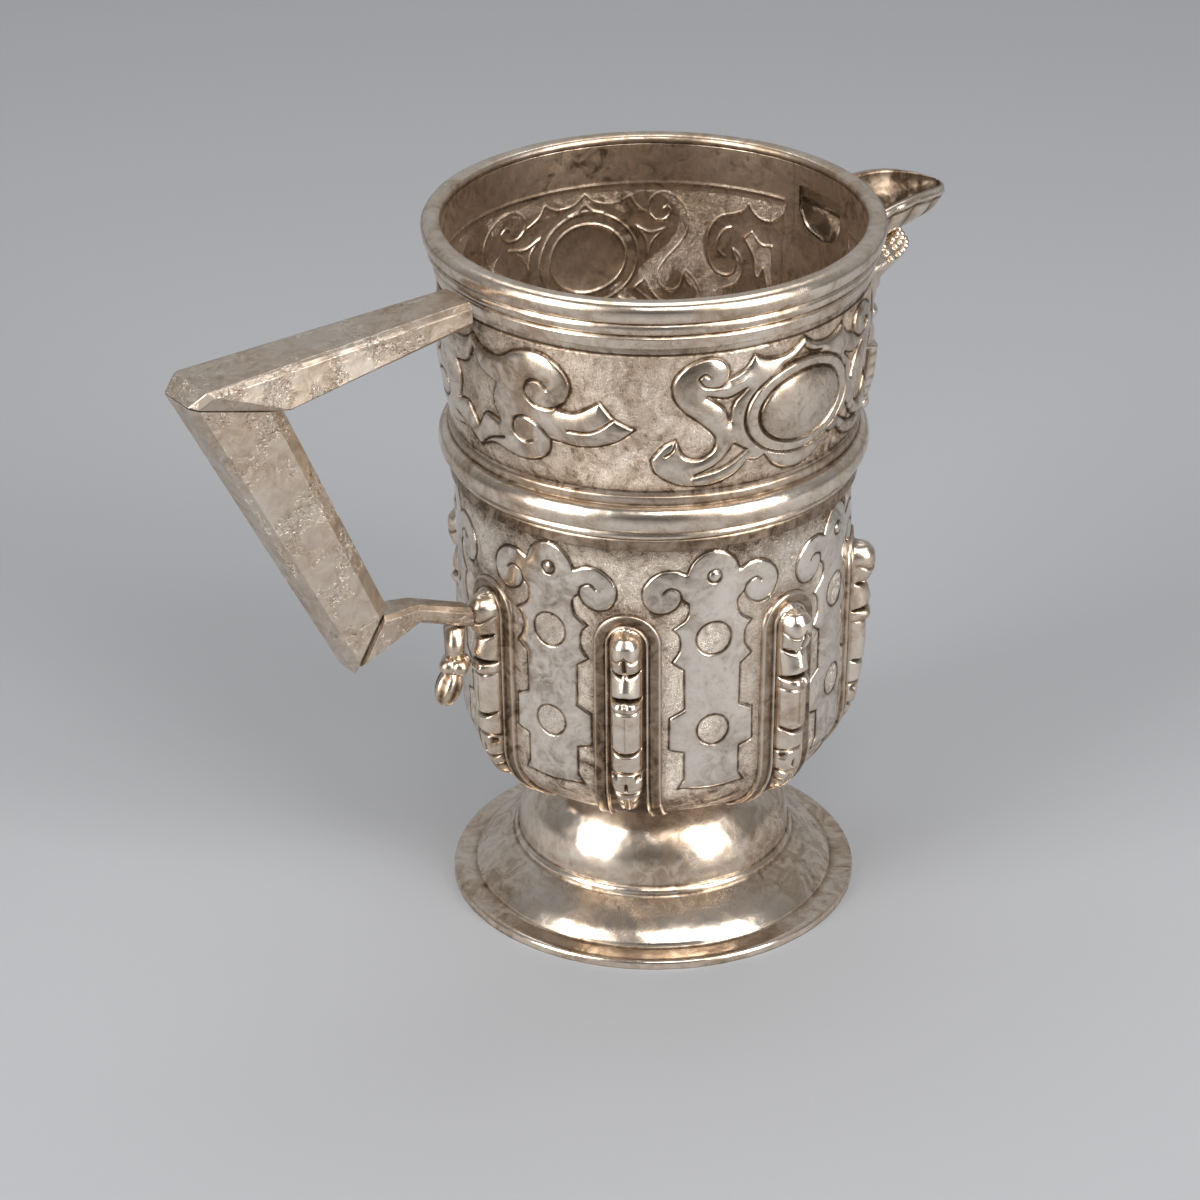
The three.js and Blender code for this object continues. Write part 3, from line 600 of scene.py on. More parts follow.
def frieze_relief(angle, height):
    """The frieze's height over the plain wall, its cut lines, its punched ground and its shade:
    painted shade beside its lines and towards the boss's edge, and a darkening near its top
    and bottom."""
    strap = np.full(angle.shape, 4.0)
    lines = np.full(angle.shape, 4.0)
    plans = [(SIDE_CENTRES, -1, side_outline, side_windows, side_cuts),
             (HANDLE_CENTRE, 1, end_outline, end_windows, end_cuts),
             (SPOUT_CENTRE, 1, spout_half, spout_windows, spout_cuts)]
    for centres, side, outline, windows, cuts in plans:
        x = folded(angle, centres, DRAWN) * side
        shape = near_only(to_shape, x, height, outline)
        for window in windows:
            shape = np.maximum(shape, -near_only(to_shape, x, height, window))
        strap = np.minimum(strap, shape)
        for cut in cuts:
            lines = np.minimum(lines, near_only(to_line, x, height, cut))
    x = folded(angle, SIDE_CENTRES, DRAWN)
    spread, ring = (np.hypot(x / wide, (height - BOSS_HEIGHT) / high) for wide, high in (BOSS, BOSS_RING))
    to_boss, to_ring = (spread - 1) * BOSS[1], (ring - 1) * BOSS_RING[1]
    in_band = smooth(-to_ring, -0.1, 0.5) * smooth(to_boss, -0.1, 0.5)
    raised = smooth(-strap, -0.1, 0.4) * 0.2 + STRAP_RISE * (1 - np.exp(-np.maximum(-strap, 0) / 1.7))
    raised = np.where(to_ring < 0, FIELD_RISE, raised) + in_band * BAND_RISE
    raised += np.where(to_boss < 0, BOSS_RISE * np.sqrt(np.clip(1 - spread**2, 0, 1)), 0)
    edges = np.minimum.reduce([
        np.abs(strap) + (to_ring < 0) * 4, lines, np.abs(to_boss), np.abs(to_ring),
        np.abs(height - TOP_LINE), np.abs(height - LOW_LINE) + 0.12,
    ])
    from_spout = folded(angle, SPOUT_CENTRE, DRAWN)
    border = np.abs(from_spout - BORDER) + np.clip(LOW_LINE + 1 - height, 0, None) * 9
    cut = cut_line(np.where(from_spout < BORDER, border, np.minimum(edges, border)), 0.22)
    inside_lines = smooth(TOP_LINE - 0.3 - height, 0, 0.3) * smooth(height - LOW_LINE, 0.1, 0.4)
    ground = smooth(strap, 0, 0.5) * (to_ring > 0) * (from_spout > BORDER) * inside_lines
    # Painted shade beside the lines and towards the edge of the boss; the frieze is also darker near its
    # top and bottom.
    shade = np.exp(-edges / 0.7) * 0.22 + (to_boss < 0) * 0.25 * spread
    shade += smooth(118.5 - height, 0, 3) * 0.3 + smooth(height, 146.5, 149) * 0.2
    return raised * (1 - cut * 0.35) - cut * 0.25, cut, ground, shade


print("frieze drawn:", len(side_outline), "and", len(end_outline), "points")

# %% [markdown]
# The wall is one grid that runs up the outside and down the inside, so both faces share the
# chasing: what is pushed out in front is a hollow behind, and a cut line shows inside as a
# fine ridge. Where the spout's opening is, quads are left out, the edge is drawn onto the
# opening's outline, and a strip joins outside to inside. Four sectors keep the meshes light,
# and all take their normals from the whole grid, so no seam shows between them.

# %% Upper wall
WALL = 1.2
FRIEZE_LOW, FRIEZE_TOP = 115.0, 147.2
OPENING = run(
    [(-7.4, 153.4), (-7.4, 147.4)],
    [(-5.2, 144), (0, 142.4)],
    [(5.2, 144), (7.4, 147.4)],
    [(7.4, 153.4)], [(-7.4, 153.4)],
)


def wall_radius(height):
    """The sheet's outside: straight below the frieze, then a slow swell, a quarter sine wave
    from 44.1 up to 46.3, as in the frame."""
    share = np.clip((height - FRIEZE_LOW) / (FRIEZE_TOP - FRIEZE_LOW), 0, 1)
    swell = 44.1 + (46.3 - 44.1) * np.sin(share * np.pi / 2)
    return np.where(height < FRIEZE_LOW - 0.5, 43.3, swell)


def grid_normals(points):
    """The normal at each grid point: the cross product of the steps along its row and column."""
    along = np.roll(points, -1, 1) - np.roll(points, 1, 1)
    normal = np.cross(along, np.roll(points, -1, 0) - np.roll(points, 1, 0))
    return normal / np.maximum(np.linalg.norm(normal, axis=-1, keepdims=True), 1e-12)


def sector(points, values, missing, first, last):
    """Part of a turned grid whose rows close on themselves, between two columns. Both cut
    ends are closed with one flat polygon. Quads marked missing are left out, and strips from
    the outer half of the rows to the inner half close the edge of the hole."""
    rows = len(points)
    columns = np.arange(first, last + 1) % points.shape[1]
    count = len(columns)
    gone = missing[:, columns[:-1]]
    ends = np.arange(rows) * count
    groups = [grid_faces(rows, count, wrap_rows=True)[~gone.ravel()], hole_strips(gone, rows, count),
              ends[None, ::-1], (ends + count - 1)[None]]
    own = points[:, columns].reshape(-1, 3)
    normals = grid_normals(points)[:, columns].reshape(-1, 3)
    used = np.unique(np.concatenate([g.ravel() for g in groups]))
    new = np.full(len(own), -1)
    new[used] = np.arange(len(used))
    own_values = {k: v[:, columns].ravel()[used] for k, v in values.items()}
    return Shell(own[used], [new[g] for g in groups if len(g)], **own_values), normals[used]


def in_sectors(name, node, material, points, values, missing, seams):
    """Hands over a turned grid as one piece between each two seams. The first replaces the
    node, and the others add to it."""
    for number, (first, last) in enumerate(zip(seams, seams[1:]), start=1):
        shell, normals = sector(points, values, missing, first, last)
        nodes = [node] if number == 1 else []
        finished(f"{name}_{number}", [shell], material, nodes, normals)


def hole_strips(gone, rows, count):
    """Quads across the wall's thickness, along each edge between a missing and a kept quad
    of the outer half. The inner point of outer row r is row (rows - 1 - r)."""
    outer = gone[: rows // 2 - 1]
    made = []
    for axis, to_next in ((0, 1), (1, count)):
        r, c = np.nonzero(np.diff(outer, axis=axis))
        point = (r + 1 - axis) * count + c + axis
        edge = np.stack([point, point + to_next], -1)
        behind = (rows - 1 - edge // count) * count + edge % count
        quad = np.hstack([edge[:, :1], behind, edge[:, 1:]])
        flip = outer[r, c] != axis
        quad[flip] = quad[flip][:, ::-1]
        made.append(quad)
    return np.vstack(made)


# Inside, the far half shows how its drawing sits: the cartouche is narrower and nearer the
# spout than the near one mirrored. Each seen angle, from the spout, goes with a mirrored one.
FAR_SEEN = [0, 36, 50, 60, 74, 88, 99.5, 130, 180]
FAR_MIRRORED = [0, 36, 55, 68, 84.3, 101.5, 112.5, 139, 180]
WALL_COLUMNS = 1056
wall_angle = all_round(WALL_COLUMNS)
wall_height = np.concatenate([
    [109.3, 112.0, 114.3],
    np.linspace(114.8, 148.0, 124),
    np.linspace(148.35, 158.2, 33),
])
angle_grid, height_grid = np.meshgrid(wall_angle, wall_height)
signed_angle = (angle_grid + np.pi) % (2 * np.pi) - np.pi
across = signed_angle * DRAWN
step = 0.05
near = near_only(to_shape, across, height_grid, OPENING)
slope_x = near_only(to_shape, across + step, height_grid, OPENING) - near
slope_z = near_only(to_shape, across, height_grid + step, OPENING) - near
centres = (near[:-1, :] + near[1:, :]) / 2
missing_outer = (centres + np.roll(centres, -1, 1)) / 2 < 0
around = np.pad(missing_outer, ((1, 1), (0, 0))).astype(int)
around = around[:-1] + around[1:]
touching = around + np.roll(around, 1, 1)  # how many of a point's four quads are missing
on_edge = (touching > 0) & (touching < 4)
length = np.maximum(np.hypot(slope_x, slope_z), 1e-9)
angle_grid = angle_grid - on_edge * near * slope_x / length / DRAWN
height_grid = height_grid - on_edge * near * slope_z / length
relief, cut, ground, shade = frieze_relief(angle_grid, height_grid)
sheet = wall_radius(height_grid) + wobble(angle_grid, height_grid)
from_spout = folded(angle_grid, SPOUT_CENTRE, DRAWN)
seen = np.degrees(np.maximum(signed_angle, 0))
mirrored_angle = np.radians(np.interp(seen, FAR_SEEN, FAR_MIRRORED))
inside_angle = np.where(signed_angle > 0, mirrored_angle, signed_angle)
pushed, inner_cut, _, _ = frieze_relief(inside_angle, height_grid)
inner_line = cut_line(height_grid - 148.8, 0.24) * (from_spout > BORDER)
inner_line = inner_line + cut_line(from_spout - 8.6, 0.2) * 0.5 * (height_grid > LOW_LINE)
inner_relief = 0.14 * np.clip(pushed, 0, 1.0) + 0.35 * np.clip(pushed - 1.1, 0, None)
inner_line = np.clip(inner_line + inner_cut * (height_grid < FRIEZE_TOP), 0, 1)
inner_radius = sheet - WALL + inner_relief - inner_line * 0.2

wall_points = np.vstack([
    round_points(sheet + relief, angle_grid, height_grid),
    round_points(inner_radius, angle_grid, height_grid)[::-1],
])
# Outside, the cut lines' tarnish and the frieze's painted shade make one darkening value.
wall_values = {
    "recess": np.vstack([np.clip(cut * 1.1 + shade, 0, 1), 0 * cut]),
    "ground": np.vstack([ground, ground[::-1] * 0.2]),
    "inner": np.vstack([0 * cut, 1 - 0.6 * inner_line[::-1]]),
}
none = np.zeros((1, WALL_COLUMNS), bool)
wall_missing = np.vstack([missing_outer, none, missing_outer[::-1], none])
wall_seams = [round(WALL_COLUMNS * a / 360) for a in (30, 120, 210, 300, 390)]
in_sectors("wall", "upper_wall", FRIEZE_IN_SHADE, wall_points, wall_values, wall_missing, wall_seams)

# %% [markdown]
# Between the ribs the bowl carries seven tall panels: a three-lobed top with a small ring,
# two volutes, a waist of cusps, two round fields left matt, and a stepped lower part. The
# ground round them is punched. Again only half a panel is drawn.

# %% Bowl panels
RIB_ANGLES = np.radians([180, 226.5, 276, 322, 16, 70, 124])
PANEL_ANGLES = np.radians([203.2, 251.2, 299, 349, 43, 97, 152])
BOWL_DRAWN = 43.4

panel_half = run(
    [(0, 101.2), (2.6, 100.3), (4.8, 98.3), (5.9, 95.8)],
    [(8.6, 96.9), (12, 96.4), (14.9, 93.6), (15.4, 90.2), (13.7, 87.3), (10.9, 86.6),
     (8.2, 87.9), (7, 90)],
    [(5.5, 88.3), (6, 85.2), (9, 82.8)],
    [(7.5, 80.9), (7.4, 77.6), (9.1, 74.8)],
    [(6.4, 72.8)], [(6.3, 63.2)], [(9.6, 61.4)], [(9.7, 53.5)], [(6.3, 52.7)], [(6.3, 46)],
    [(7.6, 43.6)], [(0, 43)],
)
panel_outline = whole(panel_half)
panel_scroll = curve([(7, 90), (7.6, 92), (9.6, 92.9), (11, 91.9)])
RING_LEVEL, RING_RADIUS, BEAD_RADIUS = 95.0, 1.5, 1.2
DISCS = [(80.2, 3.9), (58.0, 3.6)]  # level and radius of the two round fields


def panel_relief(angle, height):
    """The panels' height over the bowl, their cut lines, the punched ground and their shade:
    painted shade beside lines and ribs, and a darkening below the middle ring and towards the
    bottom."""
    x = folded(angle, PANEL_ANGLES, BOWL_DRAWN)
    shape = near_only(to_shape, x, height, panel_outline)
    ring = np.hypot(x, height - RING_LEVEL)
    line = np.minimum.reduce([np.abs(shape), near_only(to_line, x, height, panel_scroll),
                              np.abs(ring - RING_RADIUS)])
    disc = 0
    for level, radius in DISCS:
        within = radius - np.hypot(x, height - level)
        line = np.minimum(line, np.abs(within))
        disc = np.maximum(disc, smooth(within, 0, 0.3))
    cut = cut_line(line, 0.22)
    raised = smooth(-shape, 0, 0.4) * 0.1 + 0.4 * (1 - np.exp(-np.maximum(-shape, 0) / 2.2))
    raised = raised - disc * 0.1 + 0.35 * np.sqrt(np.clip(1 - (ring / BEAD_RADIUS) ** 2, 0, 1))
    ground = np.maximum(smooth(shape, 0, 0.5), disc * 0.7) * smooth(101.9 - height, 0, 0.5)
    # Painted shade beside the ribs and beside the lines; the bowl is also darker below the middle ring
    # and towards its bottom.
    beside = folded(angle, RIB_ANGLES, BOWL_DRAWN)
    shade = smooth(9.5 - beside, 0, 3.0) * smooth(90 - height, 0, 3.0) * 0.5
    shade = np.maximum(shade, smooth(height, 96.5, 101.5) * 0.6 + smooth(44 - height, 0, 6) * 0.4)
    shade += np.exp(-line / 0.7) * 0.3
    return raised - cut * 0.22, cut, ground, shade


BOWL_COLUMNS = 1000
BOWL_BOTTOM, SHOULDER, BOWL_TOP = 31.05, 47.0, 108.8
FLAT_RADIUS, CURVE_WIDE, CURVE_HIGH = 24.0, 18.3, 16.0


def bowl_line(inset, count_curve, count_side):
    """The bowl's side view: flat bottom, quarter ellipse, straight side, as in the frame."""
    turn_angle = np.linspace(0, np.pi / 2, count_curve)
    reach = FLAT_RADIUS + (CURVE_WIDE - inset) * np.sin(turn_angle)
    height = SHOULDER - (CURVE_HIGH - inset) * np.cos(turn_angle)
    side = np.linspace(0, 1, count_side + 1)[1:]
    return np.vstack([
        np.stack([reach, height], -1),
        np.stack([reach[-1] + side, SHOULDER + side * (BOWL_TOP - SHOULDER)], -1),
    ])


def bowl_grid(line):
    """The line turned to a grid: radius, angle, height and unevenness of each point."""
    radius, height = (column[:, None] + np.zeros(BOWL_COLUMNS) for column in line.T)
    angle = all_round(BOWL_COLUMNS) + 0 * radius
    return radius, angle, height, wobble(angle, height) * np.minimum(radius / 40, 1)


outer_line = np.vstack([[(0.0, BOWL_BOTTOM), (21.0, BOWL_BOTTOM)], bowl_line(0, 72, 218)])
floor_line = [(12.0, BOWL_BOTTOM + WALL), (0.0, BOWL_BOTTOM + WALL)]
radius, angle, height, uneven = bowl_grid(outer_line)
relief, cut, ground, shade = panel_relief(angle, height)
slope = np.gradient(outer_line, axis=0)
slope = slope / np.linalg.norm(slope, axis=1, keepdims=True)
lift = (relief + uneven) * smooth(height, 36, 40)
outer_points = round_points(radius + lift * slope[:, 1:], angle, height - lift * slope[:, :1])
radius, angle, height, uneven = bowl_grid(np.vstack([bowl_line(WALL, 16, 20)[::-1], floor_line]))
bowl_points = np.vstack([outer_points, round_points(radius + uneven, angle, height)])
# Outside, the cut lines' tarnish and the panels' shade, painted shade beside ribs and lines, make one
# darkening value.
bowl_values = {
    "recess": np.vstack([np.clip(cut * 1.1 + shade * 0.6 * (0.6 + 0.4 * ground), 0, 1), 0 * radius]),
    "ground": np.vstack([ground, 0 * radius]),
    "inner": np.vstack([0 * cut, 0 * radius + 1]),
}
bowl_seams = range(0, BOWL_COLUMNS + 1, BOWL_COLUMNS // 4)
none = np.zeros(bowl_points.shape[:2], bool)
in_sectors("bowl", "lower_bowl", SHEET_IN_LIGHT, bowl_points, bowl_values, none, bowl_seams)

# %% [markdown]
# The ribs are castings. Each lies on an arched plate with a rounded border, and swells and
# draws in through a row of lobes: a rounded cap, a fluted neck, a keeled lobe, a lip, a long
# body, short steps and a leafy tip. A rib is a height over a flat strip, bent round the bowl.

# %% Ribs
RIB_HALF = 3.45
PLATE_HALF = 7.3
BAND, RIDGE_WIDTH = 2.55, 0.9  # from the plate's edge inwards
RIB_START = 3.3  # from the plate's top down to the rib's top
RIB_PEAK = 6.0

line_points = bowl_line(0, 200, 200)[::-1]
line_lengths = np.concatenate([[0], np.cumsum(np.linalg.norm(np.diff(line_points, axis=0), axis=1))])
PLATE_TOP = BOWL_TOP - 86.7
STRIP = line_lengths[-1] - PLATE_TOP - 8.4


def on_bowl(x, along, lift):
    """A point of the strip on the bowl: along runs down the bowl's line from the plate's top,
    x runs round it, and lift stands square to it."""
    (radius, height), ahead, behind = (
        [np.interp(PLATE_TOP + along + step, line_lengths, column) for column in line_points.T]
        for step in (0, 0.3, -0.3)
    )
    run_out, run_down = ahead[0] - behind[0], ahead[1] - behind[1]
    size = np.hypot(run_out, run_down)
    return round_points(radius - lift * run_down / size, x / radius, height + lift * run_out / size)


RIB_LENGTH = 45.8
# How high the rib's ridge stands down its length, as a share of its peak
RIDGE = [(0, 0.45), (0.7, 0.76), (2.4, 0.96), (4.4, 1.0), (6.0, 0.94), (9.2, 0.72), (9.8, 0.6),
         (10.6, 0.68), (14.5, 0.85), (15.3, 0.62), (16, 0.8), (17.2, 0.87), (18.8, 0.74), (24, 0.77),
         (28.6, 0.72), (29.2, 0.6), (29.9, 0.69), (33.4, 0.63), (34, 0.54), (34.7, 0.58), (39, 0.49),
         (39.6, 0.4), (40.6, 0.43), (44.4, 0.34), (45.8, 0.2)]
# How far the cuts across the rib bend down (above 0) or up (below 0) at its sides
BENDS = [(6, 0), (9.6, -0.9), (15.3, 0.9), (18.8, -0.5), (24, 0), (29.1, -1.3), (34, 0.2),
         (39.6, -0.7), (46, -1)]
# Cuts across the rib: place, depth, width, and the shares of the half width that each spans
CUTS = [(9.6, 1.5, 0.42, 0.14, 0.86), (15.3, 1.6, 0.5, -1, 0.93), (18.8, 0.35, 0.3, -1, 1),
        (29.1, 1, 0.4, -1, 0.9), (34, 0.7, 0.34, -1, 1), (35.4, 0.9, 0.8, 0.5, 0.86),
        (39.6, 0.8, 0.36, -1, 0.95), (42.4, 0.4, 0.4, 0.3, 1)]
# Grooves down the rib's middle: start, end, depth, width
GROOVES = [(4.6, 9.2, 0.7, 0.42), (16.0, 18.6, 0.3, 0.4), (19.6, 28.2, 0.22, 0.2),
           (36.6, 39, 0.9, 0.3), (40.4, 45, 0.4, 0.35)]


def plate_relief(from_edge):
    """The arched plate's height by the distance from its edge: a bevel, a low rounded band, a
    line, a thin bright ridge, and a groove at the rib's foot. Also the dark of line and groove."""
    band = 0.72 * smooth(from_edge, 0, 0.3) + 0.28 * np.sin(np.pi * np.clip(from_edge / BAND, 0, 1))
    ridge = 0.5 + 0.75 * np.sin(np.pi * np.clip((from_edge - BAND) / RIDGE_WIDTH, 0, 1))
    height = np.where(from_edge < BAND, band, ridge)
    dark = cut_line(from_edge, 0.2) + cut_line(from_edge - BAND, 0.26)
    dark = dark + smooth(from_edge, BAND + RIDGE_WIDTH - 0.15, BAND + RIDGE_WIDTH + 0.1)
    brown = 0.7 * smooth(from_edge, 0.3, 0.9) * (from_edge < BAND)
    return height, np.clip(np.maximum(dark, brown), 0, 1)


def rib_relief(x, along):
    """The height of rib and plate, and the dark of their cuts, with painted shade low on the
    rib's sides. Across the strip the rib is a rounded block, (1 - |w|^2.6)^(1 / 2); down it the
    ridge line sets its height. Cuts and grooves are bell-shaped, and two soft swellings side by
    side make the fluted lobes."""
    corner = np.hypot(x, along - PLATE_HALF)
    from_edge = np.where(along < PLATE_HALF, PLATE_HALF - corner, PLATE_HALF - np.abs(x))
    plate, dark = plate_relief(from_edge)
    start = along - RIB_START
    taper = RIB_HALF * np.clip(0.5 + (RIB_LENGTH - start) / 16, 0, 1)
    round_top = np.sqrt(np.clip(RIB_HALF**2 - np.clip(RIB_HALF - start, 0, None) ** 2, 0, None))
    half = np.maximum(np.minimum(round_top, taper), 0.05)
    w = np.clip(np.abs(x) / half, 0, 1)
    place = start - np.interp(start, *np.transpose(BENDS)) * w**2
    level = np.interp(place, *np.transpose(RIDGE))
    scallop = 4.3 + 1.6 * np.sin(np.pi * w)
    pair = np.sin(np.pi * w) * (0.35 * smooth(start - scallop, 0, 0.4) * smooth(9.4 - place, 0, 0.6)
                                + 0.4 * smooth(place, 15.4, 16) * smooth(18.8 - place, 0, 0.5))
    nose = 0.5 * cut_line(x, 0.6 + 0.05 * start) * smooth(place, 9.4, 10) * smooth(14.6 - place, 0, 1.5)
    rib = RIB_PEAK * level * np.sqrt(1 - w**2.6) + pair + nose
    cuts = cut_line(start - scallop, 0.28) * 0.45 * (w < 0.95)
    for where, depth, width, first, last in CUTS:
        span = smooth(w, first, first + 0.08) * smooth(last - w, -0.04, 0.06)
        cuts = np.maximum(cuts, depth * span * cut_line(place - where, width))
    for first, last, depth, width in GROOVES:
        span = smooth(start, first, first + 0.6) * smooth(last - start, 0, 0.6)
        cuts = np.maximum(cuts, depth * span * cut_line(x, width))
    rib = np.where((start > 0) & (start < RIB_LENGTH), np.maximum(rib - cuts, 0.3), 0)
    on_rib = rib > plate
    # Painted shade: the rib is darker low on its sides, where it meets the plate.
    foot = smooth(1.5 - rib, 0, 0.9) * 0.6
    return np.maximum(plate, rib), np.where(on_rib, np.clip(cuts * 1.5 + foot, 0, 1), dark)


right_half = np.concatenate([np.linspace(0, 3.1, 16), np.linspace(3.25, 5.0, 15),
                             np.linspace(5.2, PLATE_HALF, 12)])
shares = np.concatenate([-right_half[:0:-1], right_half]) / PLATE_HALF
along = np.concatenate([np.linspace(0.0, 1.2, 8) ** 1.6 / 1.2**0.6, np.linspace(1.4, STRIP, 260)])
half_width = np.sqrt(np.clip(PLATE_HALF**2 - np.clip(PLATE_HALF - along, 0, None) ** 2, 0.0004, None))
strip_x = shares * half_width[:, None]
strip_y = along[:, None] + 0 * strip_x
lift, strip_recess = rib_relief(strip_x, strip_y)
SUNK = -0.35  # how far the plate's back lies in the bowl
back = np.s_[:, [-1, len(shares) // 2, 0]]
front_points = on_bowl(strip_x, strip_y, np.maximum(lift, 0.1))
back_points = on_bowl(strip_x[back], strip_y[back], SUNK)
rib_points = np.concatenate([front_points, back_points], axis=1)
rib_recess = np.concatenate([strip_recess, 0 * strip_recess[back]], axis=1)
for number, rib_angle in enumerate(RIB_ANGLES, start=1):
    c, s = np.cos(rib_angle), np.sin(rib_angle)
    spun = rib_points @ np.array([[c, s, 0], [-s, c, 0], [0, 0, 1]])
    shell = tube(spun, recess=rib_recess)
    finished(f"rib_cast_{number}", [shell], CAST, [f"rib_{number}"])

# %% [markdown]
# The handle is made of plain chamfered bars, so the frame's own shapes are right. A copy of
# each gets small rounded edges, which catch the light as worn edges do, and a pitted face.

# %% Handle bars


def softened(node, name, width, chamfer=0.0):
    """A copy of a frame node: corners merged, flat faces joined, long edges towards the body
    cut by the chamfer, and every edge rounded."""
    shape = bmesh.new()
    shape.from_mesh(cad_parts[node].data)
    bmesh.ops.remove_doubles(shape, verts=shape.verts, dist=1e-6)
    bmesh.ops.dissolve_limit(shape, angle_limit=math.radians(1), verts=shape.verts, edges=shape.edges)
    towards_body = [
        e for e in shape.edges
        if e.calc_length() > 3 * MM and max(f.normal.x for f in e.link_faces) > 0.5
        and max(abs(f.normal.y) for f in e.link_faces) > 0.8
    ]
    if chamfer:
        bmesh.ops.bevel(shape, geom=towards_body, offset=chamfer * MM, segments=1, affect="EDGES")
    sharp = [e for e in shape.edges if e.calc_face_angle(0) > math.radians(12)]
    bmesh.ops.bevel(shape, geom=sharp, offset=width * MM, segments=3, profile=0.6, affect="EDGES",
                    clamp_overlap=True)
    for face in shape.faces:
        face.smooth = True
    mesh = bpy.data.meshes.new(name)
    shape.to_mesh(mesh)
    shape.free()
    for key in SURFACE_KEYS:
        mesh.attributes.new(key, "FLOAT", "POINT")
    piece = handed_over(name, mesh, BAR, [node])
    weighted = piece.modifiers.new("flat faces stay flat", "WEIGHTED_NORMAL")
    weighted.keep_sharp = False


softened("handle_arm", "arm_bar", 0.2)
softened("handle_grip", "grip_bar", 0.2, chamfer=1.7)
softened("handle_strut", "strut_bar", 0.15)

# %% [markdown]
# The bud under the strut is cast: a square stem, four beads and a leaning ovoid with shallow
# flutes. Each part is a closed shell, and they sink into each other as a casting's wax
# parts do.

# %% Bud


def ball(centre, radii, lean=0.0, flutes=0, depth=0.0, rows=28, columns=48):
    """A rounded body: centre + radii * (sin p cos q, sin p sin q, cos p), with flutes as a
    wave in q, then leaned about the y axis."""
    p = np.linspace(0, np.pi, rows)[:, None]
    q = all_round(columns)
    swell = 1 - depth * (0.5 - 0.5 * np.cos(flutes * q)) * np.sin(p)
    x = radii[0] * np.sin(p) * np.cos(q) * swell
    y = radii[1] * np.sin(p) * np.sin(q) * swell
    z = radii[2] * np.cos(p) + 0 * q
    c, s = math.cos(lean), math.sin(lean)
    points = np.stack([x * c + z * s, y, z * c - x * s], -1) + centre
    dark = np.clip((1 - swell) * 9, 0, 1)
    return Shell(points, [grid_faces(rows, columns, wrap_columns=True)], recess=dark)


def bar(low, high, low_half, high_half, cut=0.22):
    """A short square bar with cut corners between two points on one upright line."""
    c = 1 - cut * 2
    corners = [(1, c), (c, 1), (-c, 1), (-1, c), (-1, -c), (-c, -1), (c, -1), (1, -c)]
    sections = [np.add(np.multiply([(x, y, 0) for x, y in corners], half), point)
                for point, half in ((low, low_half), (high, high_half))]
    return tube(np.array(sections))


bud_low, bud_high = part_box("handle_bud")
stem_x = (bud_high.x - AXIS) / MM - 3.8
bud_top = bud_high.z / MM
bead_z = bud_top - 7.6 - 1.45
LEAN = math.radians(22)
bud_axis = np.array([-math.sin(LEAN), 0, -math.cos(LEAN)])
bud_middle = np.array([stem_x, 0, bead_z - 0.4]) + bud_axis * 4.7
bud_parts = [bar((stem_x, 0, bead_z - 1), (stem_x, 0, bud_top), 1.7, 2.1),
             ball(bud_middle, (3.05, 3.05, 4.7), LEAN, flutes=6, depth=0.12)]
BEAD, BEAD_OFF = 2.05, 1.7  # radius, and distance from the stem's middle
for x, y in ((BEAD_OFF, 0), (0, BEAD_OFF), (-BEAD_OFF, 0), (0, -BEAD_OFF)):
    bud_parts.append(ball((stem_x + x, y, bead_z), (BEAD, BEAD, BEAD), rows=16, columns=24))
finished("bud_cast", bud_parts, CAST, ["handle_bud"])
print("bud between", [round(v / MM, 1) for v in (bud_low.z, bud_high.z)])

# %% [markdown]
# The spout is an open channel with a gadrooned edge. It is one closed grid: each section runs
# round the outside and back along the inside, and the sections close up at a rounded tip.

# %% Spout
SPOUT_ROOT, SPOUT_TIP, SPOUT_EDGE = 46.55, 77.5, 148.6
LIP = 2.2  # height of the plain lip
SPOUT_HALF, SPOUT_DEPTH, SPOUT_WALL = 10, 10.8, 1.2


